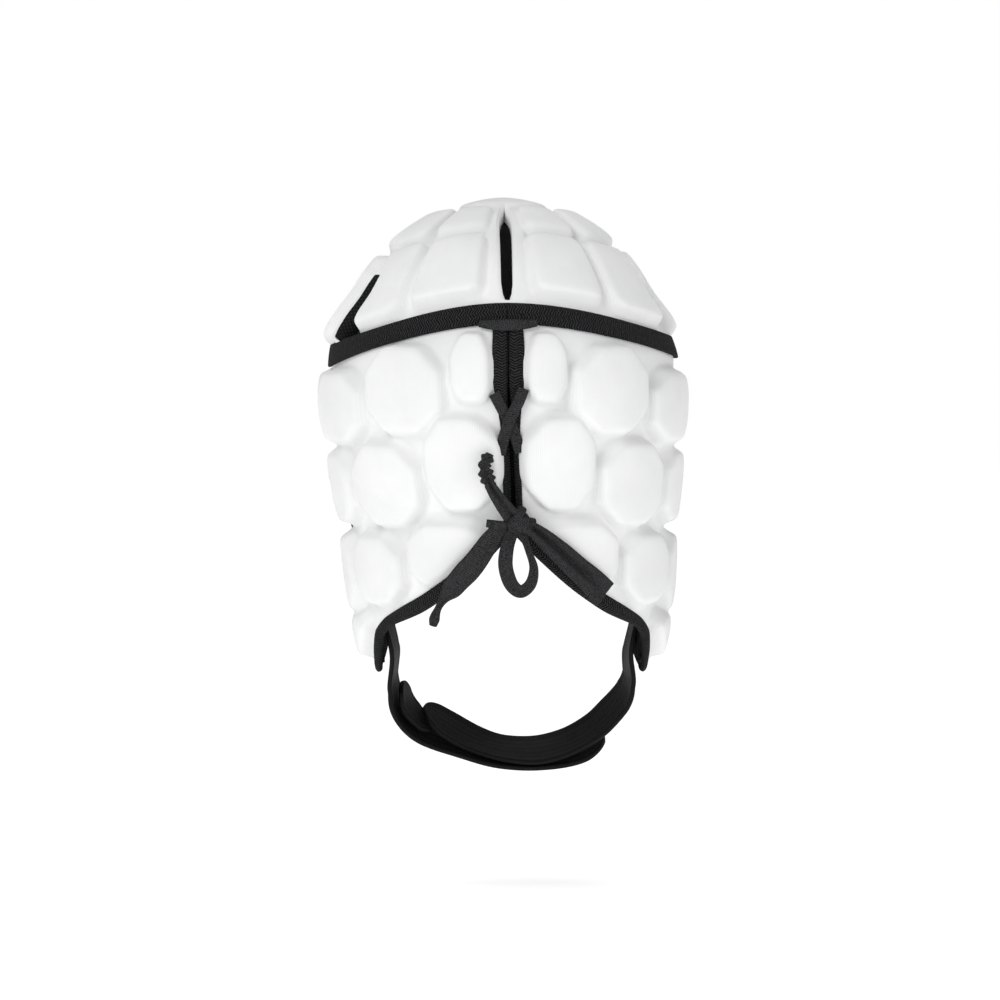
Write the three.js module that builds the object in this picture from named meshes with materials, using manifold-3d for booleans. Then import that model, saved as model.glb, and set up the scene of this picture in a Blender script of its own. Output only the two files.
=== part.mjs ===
// A padded rugby scrum cap in its worn form. Millimetres, +Z up, the face side towards +Y.
// The origin is where the top of a head meets the inside of the crown.
import * as THREE from "three";
import { mergeVertices } from "three/addons/utils/BufferGeometryUtils.js";
import Module from "manifold-3d";

const wasm = await Module();
wasm.setup();

// Driving dimensions
const halfWidth = 84.5;
const backDepth = 95;
const frontDepth = 103;
const capHeight = 224;
const panelWall = 3;
const liningWall = 1.2;
const pieceGap = 0.3;
const seamGap = 0.6;
const padHeight = 8;
const padDome = 0.8;
const padSink = 1.2;
const padMiddleSink = 0.9;
const turn = 1.7;
const flapLean = 4;
const bandBackDrop = 52;
const bandSideFall = 16;
const bandLeftFall = 4;
const bandFrontRise = 5;
const bandHeight = 10.5;
const bandStand = 2;
const backEdgeAngle = 4.6;
const backGapTop = 0.4;
const backGapFoot = 1.4;
const bindingStand = 1.4;
const edgeBindingWidth = 5.6;
const slitWidth = 6;
const sideSlitWidth = 8;
const earWidth = 34;
const earHeight = 36;
const earAngle = 103;
const earDrop = 139;
const earBindingWidth = 3;
const strapWidth = 26;
const strapThickness = 1.8;
const strapTuck = 15;
const strapTuckGap = 5;
const strapSeat = 4;
const strapSag = 49;
const tabWidthShare = 0.85;
const strapTilt = 6;
const strapSteps = 24;
const tabSteps = 8;
const strapEnd = { share: 0.06, taper: 0.16 };
const edgeJointAngle = 0.3;
const laceWidth = 5.6;
const laceThickness = 1.2;
const laceTube = 5;
const laceTubePitch = 1.8;
const laceSteps = 8;
const laceFacing = 0.6;
const knotRadius = 6.5;
const knotShape = [1, 0.72, 0.8];

// Sections of the cap at the depth of its grooves, from the crown down to the flap tips.
// drop is a share of capHeight, half of halfWidth, back of backDepth, front of frontDepth.
const sections = [
  { drop: 0, half: 0, back: 0, front: 0 },
  { drop: 0.018, half: 0.278, back: 0.29, front: 0.29 },
  { drop: 0.046, half: 0.44, back: 0.46, front: 0.46 },
  { drop: 0.092, half: 0.61, back: 0.66, front: 0.66 },
  { drop: 0.143, half: 0.72, back: 0.79, front: 0.8 },
  { drop: 0.2, half: 0.805, back: 0.88, front: 0.89 },
  { drop: 0.255, half: 0.895, back: 0.945, front: 0.95 },
  { drop: 0.31, half: 0.965, back: 0.985, front: 0.985 },
  { drop: 0.38, half: 1, back: 1, front: 1 },
  { drop: 0.47, half: 0.992, back: 0.99, front: 0.97 },
  { drop: 0.56, half: 0.962, back: 0.945, front: 0.91 },
  { drop: 0.65, half: 0.93, back: 0.87, front: 0.83 },
  { drop: 0.74, half: 0.9, back: 0.8, front: 0.74 },
  { drop: 0.83, half: 0.878, back: 0.74, front: 0.65 },
  { drop: 0.92, half: 0.85, back: 0.7, front: 0.57 },
  { drop: 1, half: 0.805, back: 0.67, front: 0.5 },
  { drop: 1.06, half: 0.76, back: 0.64, front: 0.45 },
];

// The free edge of a side panel, round from the back slit to the temple. drop is a share of capHeight.
const panelEdge = [
  { angle: -8, drop: 0.64 },
  { angle: 0, drop: 0.672 },
  { angle: 12, drop: 0.742 },
  { angle: 24, drop: 0.802 },
  { angle: 36, drop: 0.845 },
  { angle: 48, drop: 0.876 },
  { angle: 60, drop: 0.903 },
  { angle: 70, drop: 0.932 },
  { angle: 77, drop: 0.968 },
  { angle: 84, drop: 1 },
  { angle: 92, drop: 1.01 },
  { angle: 100, drop: 0.995 },
  { angle: 107, drop: 0.955 },
  { angle: 114, drop: 0.89 },
  { angle: 120, drop: 0.81 },
  { angle: 126, drop: 0.71 },
  { angle: 132, drop: 0.56 },
  { angle: 137, drop: 0.42 },
  { angle: 140, drop: 0.36 },
  { angle: 143, drop: 0.31 },
];
const templeAngle = 140;
const flapMiddle = 88;

// Crown pads on one half. from and to are angles from the back, top and foot are shares of the
// way from the crown's middle to the band, and cut is the corner's share of the pad.
const crownPads = [
  { from: 10, to: 46, top: 0.2, foot: 0.475, cut: 0.2 },
  { from: 48.5, to: 88, top: 0.2, foot: 0.475, cut: 0.2 },
  { from: 91, to: 127, top: 0.2, foot: 0.475, cut: 0.2 },
  { from: 130, to: 174, top: 0.2, foot: 0.475, cut: 0.2 },
  { from: 10, to: 40, top: 0.5, foot: 0.95, cut: 0.2 },
  { from: 42.5, to: 73, top: 0.5, foot: 0.96, cut: 0.2 },
  { from: 86, to: 113, top: 0.5, foot: 0.96, cut: 0.2 },
  { from: 115.5, to: 144, top: 0.5, foot: 0.96, cut: 0.2 },
  { from: 146.5, to: 177, top: 0.5, foot: 0.96, cut: 0.2 },
];

// Pads of one side panel. top and foot are shares of capHeight.
const sidePads = [
  { from: 5.5, to: 18.8, top: 0.276, foot: 0.424, cut: 0.5 },
  { from: 20.5, to: 50, top: 0.302, foot: 0.49, cut: 0.55 },
  { from: 52, to: 87, top: 0.352, foot: 0.512, cut: 0.5 },
  { from: 89.5, to: 117, top: 0.35, foot: 0.512, cut: 0.55 },
  { from: 119.5, to: 134, top: 0.335, foot: 0.47, cut: 0.55 },
  { from: 5.4, to: 29, top: 0.446, foot: 0.652, cut: 0.55 },
  { from: 30.5, to: 61.5, top: 0.502, foot: 0.69, cut: 0.55 },
  { from: 64, to: 89, top: 0.524, foot: 0.69, cut: 0.5 },
  { from: 118, to: 130, top: 0.495, foot: 0.66, cut: 0.5 },
  { from: 7, to: 40, top: 0.672, foot: 0.83, cut: 0.5 },
  { from: 42, to: 72.5, top: 0.703, foot: 0.868, cut: 0.55 },
  { from: 75, to: 98, top: 0.71, foot: 0.888, cut: 0.5 },
  { from: 100.5, to: 119, top: 0.738, foot: 0.868, cut: 0.55 },
  { from: 70, to: 89, top: 0.885, foot: 0.995, cut: 0.45 },
  { from: 91, to: 107, top: 0.905, foot: 0.99, cut: 0.45 },
];
const padEdgeMargin = 2.6;

// A table's value at a place between its rows, on a smooth curve through them.
function between(before, from, to, after, share) {
  const square = share * share;
  const cube = square * share;
  return 0.5 * (2 * from + (to - before) * share
    + (2 * before - 5 * from + 4 * to - after) * square
    + (3 * from - before - 3 * to + after) * cube);
}

function sectionValue(level, column) {
  const last = sections.length - 1;
  const clamped = Math.min(Math.max(level, 0), last - 1e-9);
  const row = Math.floor(clamped);
  const sign = column === "drop" ? 1 : -1;
  const before = row > 0 ? sections[row - 1][column] : sign * sections[1][column];
  const after = row + 2 > last
    ? 2 * sections[last][column] - sections[last - 1][column]
    : sections[row + 2][column];
  return between(before, sections[row][column], sections[row + 1][column], after, clamped - row);
}

// The level whose section lies a given depth below the crown's top.
function levelAt(depth) {
  let low = 0;
  let high = sections.length - 1;
  for (let step = 0; step < 40; step += 1) {
    const middle = (low + high) / 2;
    if (sectionValue(middle, "drop") * capHeight < depth) low = middle;
    else high = middle;
  }
  return (low + high) / 2;
}

const crownTop = panelWall + pieceGap + liningWall;
const radians = THREE.MathUtils.degToRad;

// A point of the cap at groove depth. The angle runs from the back round to the face, right side positive.
function capPoint(angle, level) {
  const depth = sectionValue(level, "drop") * capHeight;
  const around = radians(angle + turn);
  const reach = Math.cos(around) > 0
    ? backDepth * sectionValue(level, "back")
    : frontDepth * sectionValue(level, "front");
  const lean = flapLean * THREE.MathUtils.smoothstep(depth / capHeight, 0.36, 0.95);
  return new THREE.Vector3(
    halfWidth * sectionValue(level, "half") * Math.sin(around) + lean,
    -reach * Math.cos(around),
    crownTop - depth,
  );
}

function capNormal(angle, level) {
  if (level < 0.05) return new THREE.Vector3(0, 0, 1);
  const step = 0.02;
  const along = capPoint(angle + step, level).sub(capPoint(angle - step, level));
  const down = capPoint(angle, level + step).sub(capPoint(angle, level - step));
  return down.cross(along).normalize();
}

// A point that stands off the groove surface, outwards if stand is positive.
function standing(angle, level, stand) {
  return capPoint(angle, level).addScaledVector(capNormal(angle, level), stand);
}

// Depth of the band's middle line below the crown's top
function bandDepth(angle) {
  const swing = Math.sin(radians(angle)) ** 2;
  const left = bandLeftFall * Math.max(0, -Math.sin(radians(angle))) ** 2;
  if (Math.cos(radians(angle)) > 0) return bandBackDrop + bandSideFall * swing + left;
  return bandBackDrop + bandSideFall - bandFrontRise * (1 - swing) + left;
}

function edgeDepth(angle) {
  const size = Math.abs(angle);
  let row = 1;
  while (row < panelEdge.length - 3 && panelEdge[row + 1].angle < size) row += 1;
  const share = (size - panelEdge[row].angle) / (panelEdge[row + 1].angle - panelEdge[row].angle);
  return capHeight * between(panelEdge[row - 1].drop, panelEdge[row].drop,
    panelEdge[row + 1].drop, panelEdge[row + 2].drop, share);
}

// A closed solid from triangles given as corner triples, turned to face outwards
function solidOf(corners) {
  const loose = new THREE.BufferGeometry().setFromPoints(corners);
  const merged = mergeVertices(loose, 1e-3);
  const index = merged.index.array;
  const kept = [];
  for (let i = 0; i < index.length; i += 3) {
    const [a, b, c] = [index[i], index[i + 1], index[i + 2]];
    if (a !== b && b !== c && c !== a) kept.push(a, b, c);
  }
  const build = (order) => new wasm.Manifold(new wasm.Mesh({
    numProp: 3,
    vertProperties: merged.attributes.position.array,
    triVerts: new Uint32Array(order),
  }));
  const made = build(kept);
  return made.volume() < 0 ? build(kept.reverse()) : made;
}

function quad(corners, a, b, c, d) {
  corners.push(a, b, c, a, c, d);
}

// A wall between two grids of points, given as rows of columns
function wallOf(outer, inner) {
  const corners = [];
  const rows = outer.length - 1;
  const columns = outer[0].length - 1;
  for (let r = 0; r < rows; r += 1) {
    for (let c = 0; c < columns; c += 1) {
      quad(corners, outer[r][c], outer[r + 1][c], outer[r + 1][c + 1], outer[r][c + 1]);
      quad(corners, inner[r][c], inner[r][c + 1], inner[r + 1][c + 1], inner[r + 1][c]);
    }
    const meets = (row) => outer[row][0].distanceTo(outer[row][columns]) < 1e-3;
    if (meets(0) && meets(rows)) {
      continue;
    }
    quad(corners, outer[r][0], inner[r][0], inner[r + 1][0], outer[r + 1][0]);
    quad(corners, outer[r][columns], outer[r + 1][columns], inner[r + 1][columns], inner[r][columns]);
  }
  for (let c = 0; c < columns; c += 1) {
    quad(corners, outer[0][c], outer[0][c + 1], inner[0][c + 1], inner[0][c]);
    quad(corners, outer[rows][c], inner[rows][c], inner[rows][c + 1], outer[rows][c + 1]);
  }
  return solidOf(corners);
}

// Rings of equal counts joined in order, with a fan over each end
function stackOf(rings) {
  const corners = [];
  const count = rings[0].length;
  const middleOf = (ring) => ring.reduce((sum, p) => sum.add(p), new THREE.Vector3())
    .divideScalar(count);
  for (let r = 0; r + 1 < rings.length; r += 1) {
    for (let i = 0; i < count; i += 1) {
      const next = (i + 1) % count;
      quad(corners, rings[r][i], rings[r][next], rings[r + 1][next], rings[r + 1][i]);
    }
  }
  const ends = [rings[0], rings[rings.length - 1]];
  const tips = [rings.foot ?? middleOf(ends[0]), rings.head ?? middleOf(ends[1])];
  for (let i = 0; i < count; i += 1) {
    const next = (i + 1) % count;
    corners.push(tips[0], ends[0][next], ends[0][i], tips[1], ends[1][i], ends[1][next]);
  }
  return solidOf(corners);
}

// A strip with a rectangular section through its stations, open-ended or closed on itself
function stripOf(stations, closed) {
  const corners = [];
  const rings = stations.map(({ middle, across, normal, width, thickness }) => {
    const side = across.clone().multiplyScalar(width / 2);
    const rise = normal.clone().multiplyScalar(thickness / 2);
    return [
      middle.clone().add(side).add(rise),
      middle.clone().sub(side).add(rise),
      middle.clone().sub(side).sub(rise),
      middle.clone().add(side).sub(rise),
    ];
  });
  const spans = closed ? rings.length : rings.length - 1;
  for (let r = 0; r < spans; r += 1) {
    const ring = rings[r];
    const next = rings[(r + 1) % rings.length];
    for (let i = 0; i < 4; i += 1) {
      quad(corners, ring[i], ring[(i + 1) % 4], next[(i + 1) % 4], next[i]);
    }
  }
  if (!closed) {
    const last = rings[rings.length - 1];
    quad(corners, rings[0][3], rings[0][2], rings[0][1], rings[0][0]);
    quad(corners, last[0], last[1], last[2], last[3]);
  }
  return solidOf(corners);
}

function geometryOf(solid) {
  const mesh = solid.getMesh();
  const geometry = new THREE.BufferGeometry();
  geometry.setAttribute("position", new THREE.BufferAttribute(mesh.vertProperties, 3));
  geometry.setIndex(new THREE.BufferAttribute(mesh.triVerts, 1));
  geometry.computeVertexNormals();
  return geometry;
}

const spread = (count, from, to) => Array.from({ length: count + 1 },
  (_, i) => THREE.MathUtils.lerp(from, to, i / count));

// An eight-cornered outline in angle and level, with its corners cut off
function padOutline(pad, side, levelOf, scale) {
  const k = pad.cut;
  const signs = [[-1, k - 1], [k - 1, -1], [1 - k, -1], [1, k - 1],
    [1, 1 - k], [1 - k, 1], [k - 1, 1], [-1, 1 - k]];
  return signs.map(([u, v]) => {
    const angle = (pad.from + pad.to) / 2 + (u * scale * (pad.to - pad.from)) / 2;
    const place = (pad.top + pad.foot) / 2 + (v * scale * (pad.foot - pad.top)) / 2;
    return [side * angle, levelOf(angle, place)];
  });
}

// A raised pad: a foot sunk in the wall, a steep side, a bevel and a slightly domed face
const padSteps = [
  { rise: 0, scale: 1 },
  { rise: 0.68, scale: 0.93 },
  { rise: 1, scale: 0.76 },
];

function padSolid(pad, side, levelOf) {
  const rings = padSteps.map(({ rise, scale }) => padOutline(pad, side, levelOf, scale)
    .map(([angle, level]) => standing(angle, level, rise * padHeight - (rise === 0 ? padSink : 0))));
  const middleAngle = (pad.from + pad.to) / 2;
  const middleLevel = levelOf(middleAngle, (pad.top + pad.foot) / 2);
  rings.foot = standing(side * middleAngle, middleLevel, -padMiddleSink);
  rings.head = standing(side * middleAngle, middleLevel, padHeight + padDome);
  return stackOf(rings);
}

// A cutter that passes through the wall along an outline in angle and level
const cutterReach = [-14, 16];
function cutterSolid(outline) {
  return stackOf(cutterReach.map((stand) => outline.map(([angle, level]) => standing(angle, level, stand))));
}

// Crown
const crownColumns = 28;
const crownRows = 6;
const crownFoot = (angle) => levelAt(bandDepth(angle) - bandHeight / 2 - seamGap);
const crownLevel = (side) => (angle, share) => share * crownFoot(side * angle);

function crownGrid(stand, foot) {
  return spread(crownRows, 0, 1).map((share) => spread(crownColumns, -180, 180)
    .map((angle) => standing(angle, share * foot(angle), stand)));
}

const slitTopLevel = 0.8;
const middlePadShare = 0.18;
const middlePadSides = 12;
const slitFootShare = 0.97;

// A pointed slit with its width at mid length, along a line of one angle
function slitOutline(angle, top, foot, width, depthHere) {
  const shape = [[0, 0], [0.2, 0.8], [0.34, 1], [0.75, 0.9], [1, 0.15]];
  const right = shape.map(([along, half]) => [
    angle + THREE.MathUtils.radToDeg((half * width) / 2 / depthHere((1 - along) * top + along * foot)),
    (1 - along) * top + along * foot,
  ]);
  const left = right.slice(1).reverse().map(([turned, level]) => [2 * angle - turned, level]);
  return [...right, ...left];
}

const centreSlit = cutterSolid(slitOutline(0, slitTopLevel, slitFootShare * crownFoot(0), slitWidth,
  (level) => halfWidth * sectionValue(level, "half")));
const sideSlitLevels = { top: 4.2, foot: 6.4 };
const sideSlits = [-83, 83].map((angle) => cutterSolid(slitOutline(angle, sideSlitLevels.top,
  sideSlitLevels.foot, sideSlitWidth,
  (level) => backDepth * sectionValue(level, "back"))));

function cutCrown(solid) {
  return [centreSlit, ...sideSlits].reduce((rest, cutter) => rest.subtract(cutter), solid);
}

// The round pad at the crown's middle
function middlePad() {
  const radius = middlePadShare * crownFoot(0);
  const rings = padSteps.map(({ rise, scale }) => spread(middlePadSides, 0, 360).slice(0, middlePadSides)
    .map((angle) => standing(angle, radius * scale, rise * padHeight - (rise === 0 ? padSink : 0))));
  rings.foot = standing(0, 0, -padSink);
  rings.head = standing(0, 0, padHeight);
  return stackOf(rings);
}

function crownPanel() {
  let solid = wallOf(crownGrid(0, crownFoot), crownGrid(-panelWall, crownFoot));
  for (const side of [-1, 1]) {
    for (const pad of crownPads) solid = solid.add(padSolid(pad, side, crownLevel(side)));
  }
  solid = solid.add(middlePad());
  return cutCrown(solid);
}

function crownLining() {
  const outside = -panelWall - pieceGap;
  return cutCrown(wallOf(crownGrid(outside, crownFoot), crownGrid(outside - liningWall, crownFoot)));
}

// Side panels
const sideRows = 6;
const sideTopDepth = (angle) => bandDepth(angle) + bandHeight / 2 + seamGap;
const napeAngles = spread(9, backEdgeAngle, flapMiddle);
const faceAngles = spread(7, flapMiddle, templeAngle);
const sideAngles = [...napeAngles, ...faceAngles.slice(1)];

function sideGrid(side, stand) {
  return spread(sideRows, 0, 1).map((share) => sideAngles.map((angle) => {
    const depth = THREE.MathUtils.lerp(sideTopDepth(side * angle), edgeDepth(angle), share);
    return standing(side * angle, levelAt(depth), stand);
  }));
}

function sideLevel(angle, share) {
  const lowest = edgeDepth(angle) - padEdgeMargin;
  return levelAt(Math.min(share * capHeight, lowest));
}

// Points round the ear hole, grown by a margin in millimetres
function earOutline(side, margin, count) {
  return spread(count, 0, 360).slice(0, count).map((around) => {
    const across = (earWidth / 2 + margin) * Math.cos(radians(around));
    const depth = earDrop + (earHeight / 2 + margin) * Math.sin(radians(around));
    const level = levelAt(depth);
    const reach = frontDepth * sectionValue(level, "front");
    return [side * (earAngle + THREE.MathUtils.radToDeg(across / reach)), level];
  });
}

const earSides = 16;
const earCutter = (side) => cutterSolid(earOutline(side, earBindingWidth + seamGap, earSides));

function sidePanel(side) {
  let solid = wallOf(sideGrid(side, 0), sideGrid(side, -panelWall));
  for (const pad of sidePads) solid = solid.add(padSolid(pad, side, sideLevel));
  return solid.subtract(earCutter(side));
}

function sideLining(side) {
  const outside = -panelWall - pieceGap;
  return wallOf(sideGrid(side, outside), sideGrid(side, outside - liningWall)).subtract(earCutter(side));
}

// Bindings
const wallDepth = panelWall + pieceGap + liningWall;

// A station of a binding that wraps the wall's edge. away is the direction out of the panel.
function edgeStation(point, normal, away, width, stand) {
  return {
    middle: point.clone().addScaledVector(away, width / 2).addScaledVector(normal, (stand - wallDepth) / 2),
    across: away,
    normal,
    width,
    thickness: wallDepth + stand,
  };
}

function crownBand() {
  const stations = spread(crownColumns, -180, 180).slice(0, crownColumns).map((angle) => {
    const level = levelAt(bandDepth(angle));
    const normal = capNormal(angle, level);
    const ahead = capPoint(angle + 0.5, levelAt(bandDepth(angle + 0.5)));
    const along = ahead.sub(capPoint(angle - 0.5, levelAt(bandDepth(angle - 0.5)))).normalize();
    return {
      middle: standing(angle, level, (bandStand - wallDepth) / 2),
      across: along.clone().cross(normal).normalize(),
      normal,
      width: bandHeight,
      thickness: wallDepth + bandStand,
    };
  });
  return stripOf(stations, true);
}

const bindingLift = 1.5;

// The binding on one edge of the back slit, wide under the band and narrower at its foot
function backBinding(side) {
  const top = sideTopDepth(0);
  const foot = edgeDepth(backEdgeAngle) - bindingLift;
  return stripOf(spread(8, 0, 1).map((share) => {
    const level = levelAt(THREE.MathUtils.lerp(top, foot, share));
    const radius = halfWidth * sectionValue(level, "half");
    const outer = radius * radians(backEdgeAngle) - pieceGap;
    const inner = THREE.MathUtils.lerp(backGapTop, backGapFoot, share ** 1.5) / 2;
    const angle = side * THREE.MathUtils.radToDeg((outer + inner) / 2 / radius);
    return {
      middle: standing(angle, level, (bindingStand - wallDepth) / 2),
      across: new THREE.Vector3(1, 0, 0),
      normal: capNormal(angle, level),
      width: outer - inner,
      thickness: wallDepth + bindingStand,
    };
  }), false);
}

// The binding along a panel's free edge between two angles
function freeEdgeBinding(side, angles) {
  return stripOf(angles.map((angle) => {
    const level = levelAt(edgeDepth(angle));
    const normal = capNormal(side * angle, level);
    const ahead = capPoint(side * (angle + 0.5), levelAt(edgeDepth(angle + 0.5)));
    const along = ahead.sub(capPoint(side * (angle - 0.5), levelAt(edgeDepth(angle - 0.5)))).normalize();
    const away = along.cross(normal).normalize().multiplyScalar(side);
    const start = capPoint(side * angle, level).addScaledVector(away, seamGap);
    return edgeStation(start, normal, away, edgeBindingWidth, bindingStand);
  }), false);
}

function earBinding(side) {
  const inner = earOutline(side, 0, earSides);
  const outer = earOutline(side, earBindingWidth, earSides);
  const stations = inner.map(([angle, level], i) => {
    const normal = capNormal(angle, level);
    const start = capPoint(angle, level);
    const away = capPoint(...outer[i]).sub(start).normalize();
    return edgeStation(start, normal, away, earBindingWidth, bindingStand);
  });
  return stripOf(stations, true);
}

// Chin strap. The stations' x and z are read at the strap's middle line; y runs forward under the
// chin and tilt lifts the strap's front edge.
const outerStrapRoute = [
  { across: -0.698, ahead: 0.039, below: 0.198, tilt: 9 },
  { across: -0.669, ahead: 0.087, below: 0.433, tilt: 17 },
  { across: -0.58, ahead: 0.136, below: 0.637, tilt: 21 },
  { across: -0.45, ahead: 0.184, below: 0.776, tilt: 24 },
  { across: -0.26, ahead: 0.223, below: 0.884, tilt: 25 },
  { across: -0.047, ahead: 0.252, below: 0.966, tilt: 26 },
  { across: 0.166, ahead: 0.262, below: 0.994, tilt: 26 },
  { across: 0.379, ahead: 0.243, below: 0.937, tilt: 25 },
  { across: 0.556, ahead: 0.204, below: 0.79, tilt: 22 },
];
const innerStrapRoute = [
  { across: 0.7, ahead: 0.034, below: 0.158, tilt: -9 },
  { across: 0.666, ahead: 0.073, below: 0.341, tilt: -22 },
  { across: 0.568, ahead: 0.131, below: 0.545, tilt: -28 },
  { across: 0.456, ahead: 0.175, below: 0.709, tilt: -27 },
  { across: 0.308, ahead: 0.218, below: 0.851, tilt: -26 },
  { across: 0.142, ahead: 0.248, below: 0.925, tilt: -26 },
  { across: -0.047, ahead: 0.248, below: 0.902, tilt: -26 },
  { across: -0.213, ahead: 0.233, below: 0.807, tilt: -26 },
  { across: -0.379, ahead: 0.199, below: 0.654, tilt: -24 },
  { across: -0.521, ahead: 0.155, below: 0.494, tilt: -20 },
];
const tabRoute = [
  { across: -0.648, ahead: 0.042, below: 0.22, tilt: 8 },
  { across: -0.616, ahead: 0.087, below: 0.41, tilt: 17 },
  { across: -0.549, ahead: 0.131, below: 0.56, tilt: 21 },
  { across: -0.473, ahead: 0.165, below: 0.656, tilt: 24 },
];

// The strap's tucked end lies flat inside the flap, a gap away from the lining
function tuckedEnd(side) {
  const inside = -wallDepth - strapTuckGap - strapThickness / 2;
  const low = edgeDepth(flapMiddle) - strapSeat;
  return [low - strapTuck, low].map((depth) => {
    const level = levelAt(depth);
    return { place: standing(side * flapMiddle, level, inside), tilt: -side * strapTilt };
  });
}

function strapStations(route, lead, width, steps) {
  const flapFoot = crownTop - edgeDepth(flapMiddle);
  const places = [...lead, ...route.map(({ across, ahead, below, tilt }) => ({
    place: new THREE.Vector3(across * halfWidth + flapLean, ahead * frontDepth, flapFoot - below * strapSag),
    tilt,
  }))];
  const path = new THREE.CatmullRomCurve3(places.map(({ place }) => place));
  const rowAt = (share) => share * (places.length - 1);
  return spread(steps, 0, 1).map((share) => {
    const row = Math.min(Math.floor(rowAt(share)), places.length - 2);
    const tilt = radians(THREE.MathUtils.lerp(places[row].tilt, places[row + 1].tilt, rowAt(share) - row));
    const along = path.getTangent(share);
    const level = new THREE.Vector3(0, 1, 0).addScaledVector(along, -along.y).normalize();
    const across = level.applyAxisAngle(along, tilt);
    return {
      middle: path.getPoint(share),
      across,
      normal: along.clone().cross(across).normalize(),
      width: width * (1 - strapEnd.taper * Math.max(0, 1 - (1 - share) / strapEnd.share) ** 2),
      thickness: strapThickness,
    };
  });
}

// Lace. Points are (across, depth below the crown's top, stand off the back), chosen by hand.
const backPoint = ([x, drop, stand]) => {
  const level = levelAt(drop);
  const angle = THREE.MathUtils.radToDeg(Math.asin(x / (halfWidth * sectionValue(level, "half"))));
  return standing(angle, level, stand);
};
const overStand = bindingStand + pieceGap + laceThickness / 2;
const crossOver = [[6.9, 87.6, overStand + 2.4], [4.5, 94, overStand + 1.6], [0, 103, overStand + 1.6],
  [-3, 112, overStand + 1.6], [-4.6, 119, overStand]];
const crossUnder = [[-6.8, 90, overStand], [-3.6, 96.5, overStand], [0.4, 104, overStand],
  [3.2, 112, overStand], [5, 118, overStand]];
const barStand = bandStand + pieceGap + laceThickness / 2;
const crossBar = [[-13.5, 57.6, barStand], [-7, 58.2, barStand + 0.4], [0, 58.4, barStand + 0.8],
  [7, 58, barStand + 0.4], [13.5, 57.2, barStand]];

// A flat stretch of lace that lies on the back, wider in its middle by swell
function flatLace(route, swell) {
  const path = new THREE.CatmullRomCurve3(route.map(backPoint));
  return stripOf(spread(laceSteps, 0, 1).map((share) => {
    const along = path.getTangent(share);
    const middle = path.getPoint(share);
    const outward = new THREE.Vector3(middle.x * laceFacing, middle.y, 0).normalize();
    const across = along.clone().cross(outward).normalize();
    return {
      middle,
      across,
      normal: across.clone().cross(along).normalize(),
      width: laceWidth * (1 - swell + swell * Math.sin(Math.PI * (0.08 + 0.84 * share))),
      thickness: laceThickness,
    };
  }), false);
}

// The free stretches of lace, from the knot to their ends, in millimetres
const knotPlace = backPoint([1.525, 149.78, 6.63]);
const laceRoutes = {
  lace_tail_up: [[3.8, -91.5, -144.6], [-0.4, -96.4, -139], [-5, -99.8, -132], [-7.6, -101.9, -126],
    [-8.8, -103.4, -120], [-6.4, -104.4, -114.6]],
  lace_tail_left: [[-1, -90.2, -149.4], [-6.6, -89.8, -157.4], [-14, -85.8, -168], [-22, -80.4, -177],
    [-29, -74.6, -186], [-32.5, -71.4, -192.5], [-34.2, -69.6, -199]],
  lace_tail_right: [[12.4, -91.4, -149.8], [19, -89.8, -155], [28, -84.8, -163], [36, -79, -170.5],
    [43.5, -72.6, -177.5], [49.5, -66.8, -184]],
  lace_loop: [[4, -89.2, -152.8], [1.6, -92.6, -162], [1.3, -92.4, -170], [4, -92, -178],
    [8.6, -91.8, -181.4], [13.4, -91.8, -177.6], [14.8, -92, -170], [12.4, -92.4, -162],
    [9.3, -89.4, -152.9]],
};

function laceTubeGeometry(points) {
  const path = new THREE.CatmullRomCurve3(points.map((p) => new THREE.Vector3(...p)));
  const section = new THREE.Shape();
  section.absarc(0, 0, laceTube / 2, 0, 2 * Math.PI);
  return new THREE.ExtrudeGeometry(section, {
    steps: Math.ceil(path.getLength() / (laceTubePitch * laceTube)),
    curveSegments: 4,
    extrudePath: path,
    bevelEnabled: false,
  });
}

function knotGeometry() {
  const geometry = new THREE.SphereGeometry(knotRadius, 12, 8);
  geometry.scale(...knotShape);
  return geometry;
}

// Materials
const cloth = (color, roughness) => new THREE.MeshStandardMaterial({ color, roughness, metalness: 0 });
const whiteKnit = cloth(0xf2f2f2, 0.85);
const blackRib = cloth(0x1d1d1f, 0.8);
const blackLace = cloth(0x232325, 0.8);
const strapWeb = cloth(0x101012, 0.65);
const darkLining = cloth(0x141416, 0.9);

const cap = new THREE.Group();

function place(name, geometry, material) {
  const mesh = new THREE.Mesh(geometry, material);
  mesh.name = name;
  cap.add(mesh);
  return mesh;
}

place("crown_panel", geometryOf(crownPanel()), whiteKnit);
place("crown_lining", geometryOf(crownLining()), darkLining);
place("crown_band", geometryOf(crownBand()), blackRib);
for (const [hand, side] of [["left", -1], ["right", 1]]) {
  place(`side_panel_${hand}`, geometryOf(sidePanel(side)), whiteKnit);
  place(`side_lining_${hand}`, geometryOf(sideLining(side)), darkLining);
  place(`back_binding_${hand}`, geometryOf(backBinding(side)), blackRib);
  place(`nape_binding_${hand}`, geometryOf(freeEdgeBinding(side, napeAngles)), blackRib);
  const facing = [flapMiddle + edgeJointAngle, ...faceAngles.slice(1)];
  place(`face_binding_${hand}`, geometryOf(freeEdgeBinding(side, facing)), blackRib);
  place(`ear_binding_${hand}`, geometryOf(earBinding(side)), blackRib);
}
const strapOf = (route, side) => strapStations(route, tuckedEnd(side), strapWidth, strapSteps);
place("chin_strap_left", geometryOf(stripOf(strapOf(outerStrapRoute, -1), false)), strapWeb);
place("chin_strap_right", geometryOf(stripOf(strapOf(innerStrapRoute, 1), false)), strapWeb);
const tabStations = strapStations(tabRoute, [], strapWidth * tabWidthShare, tabSteps);
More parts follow.
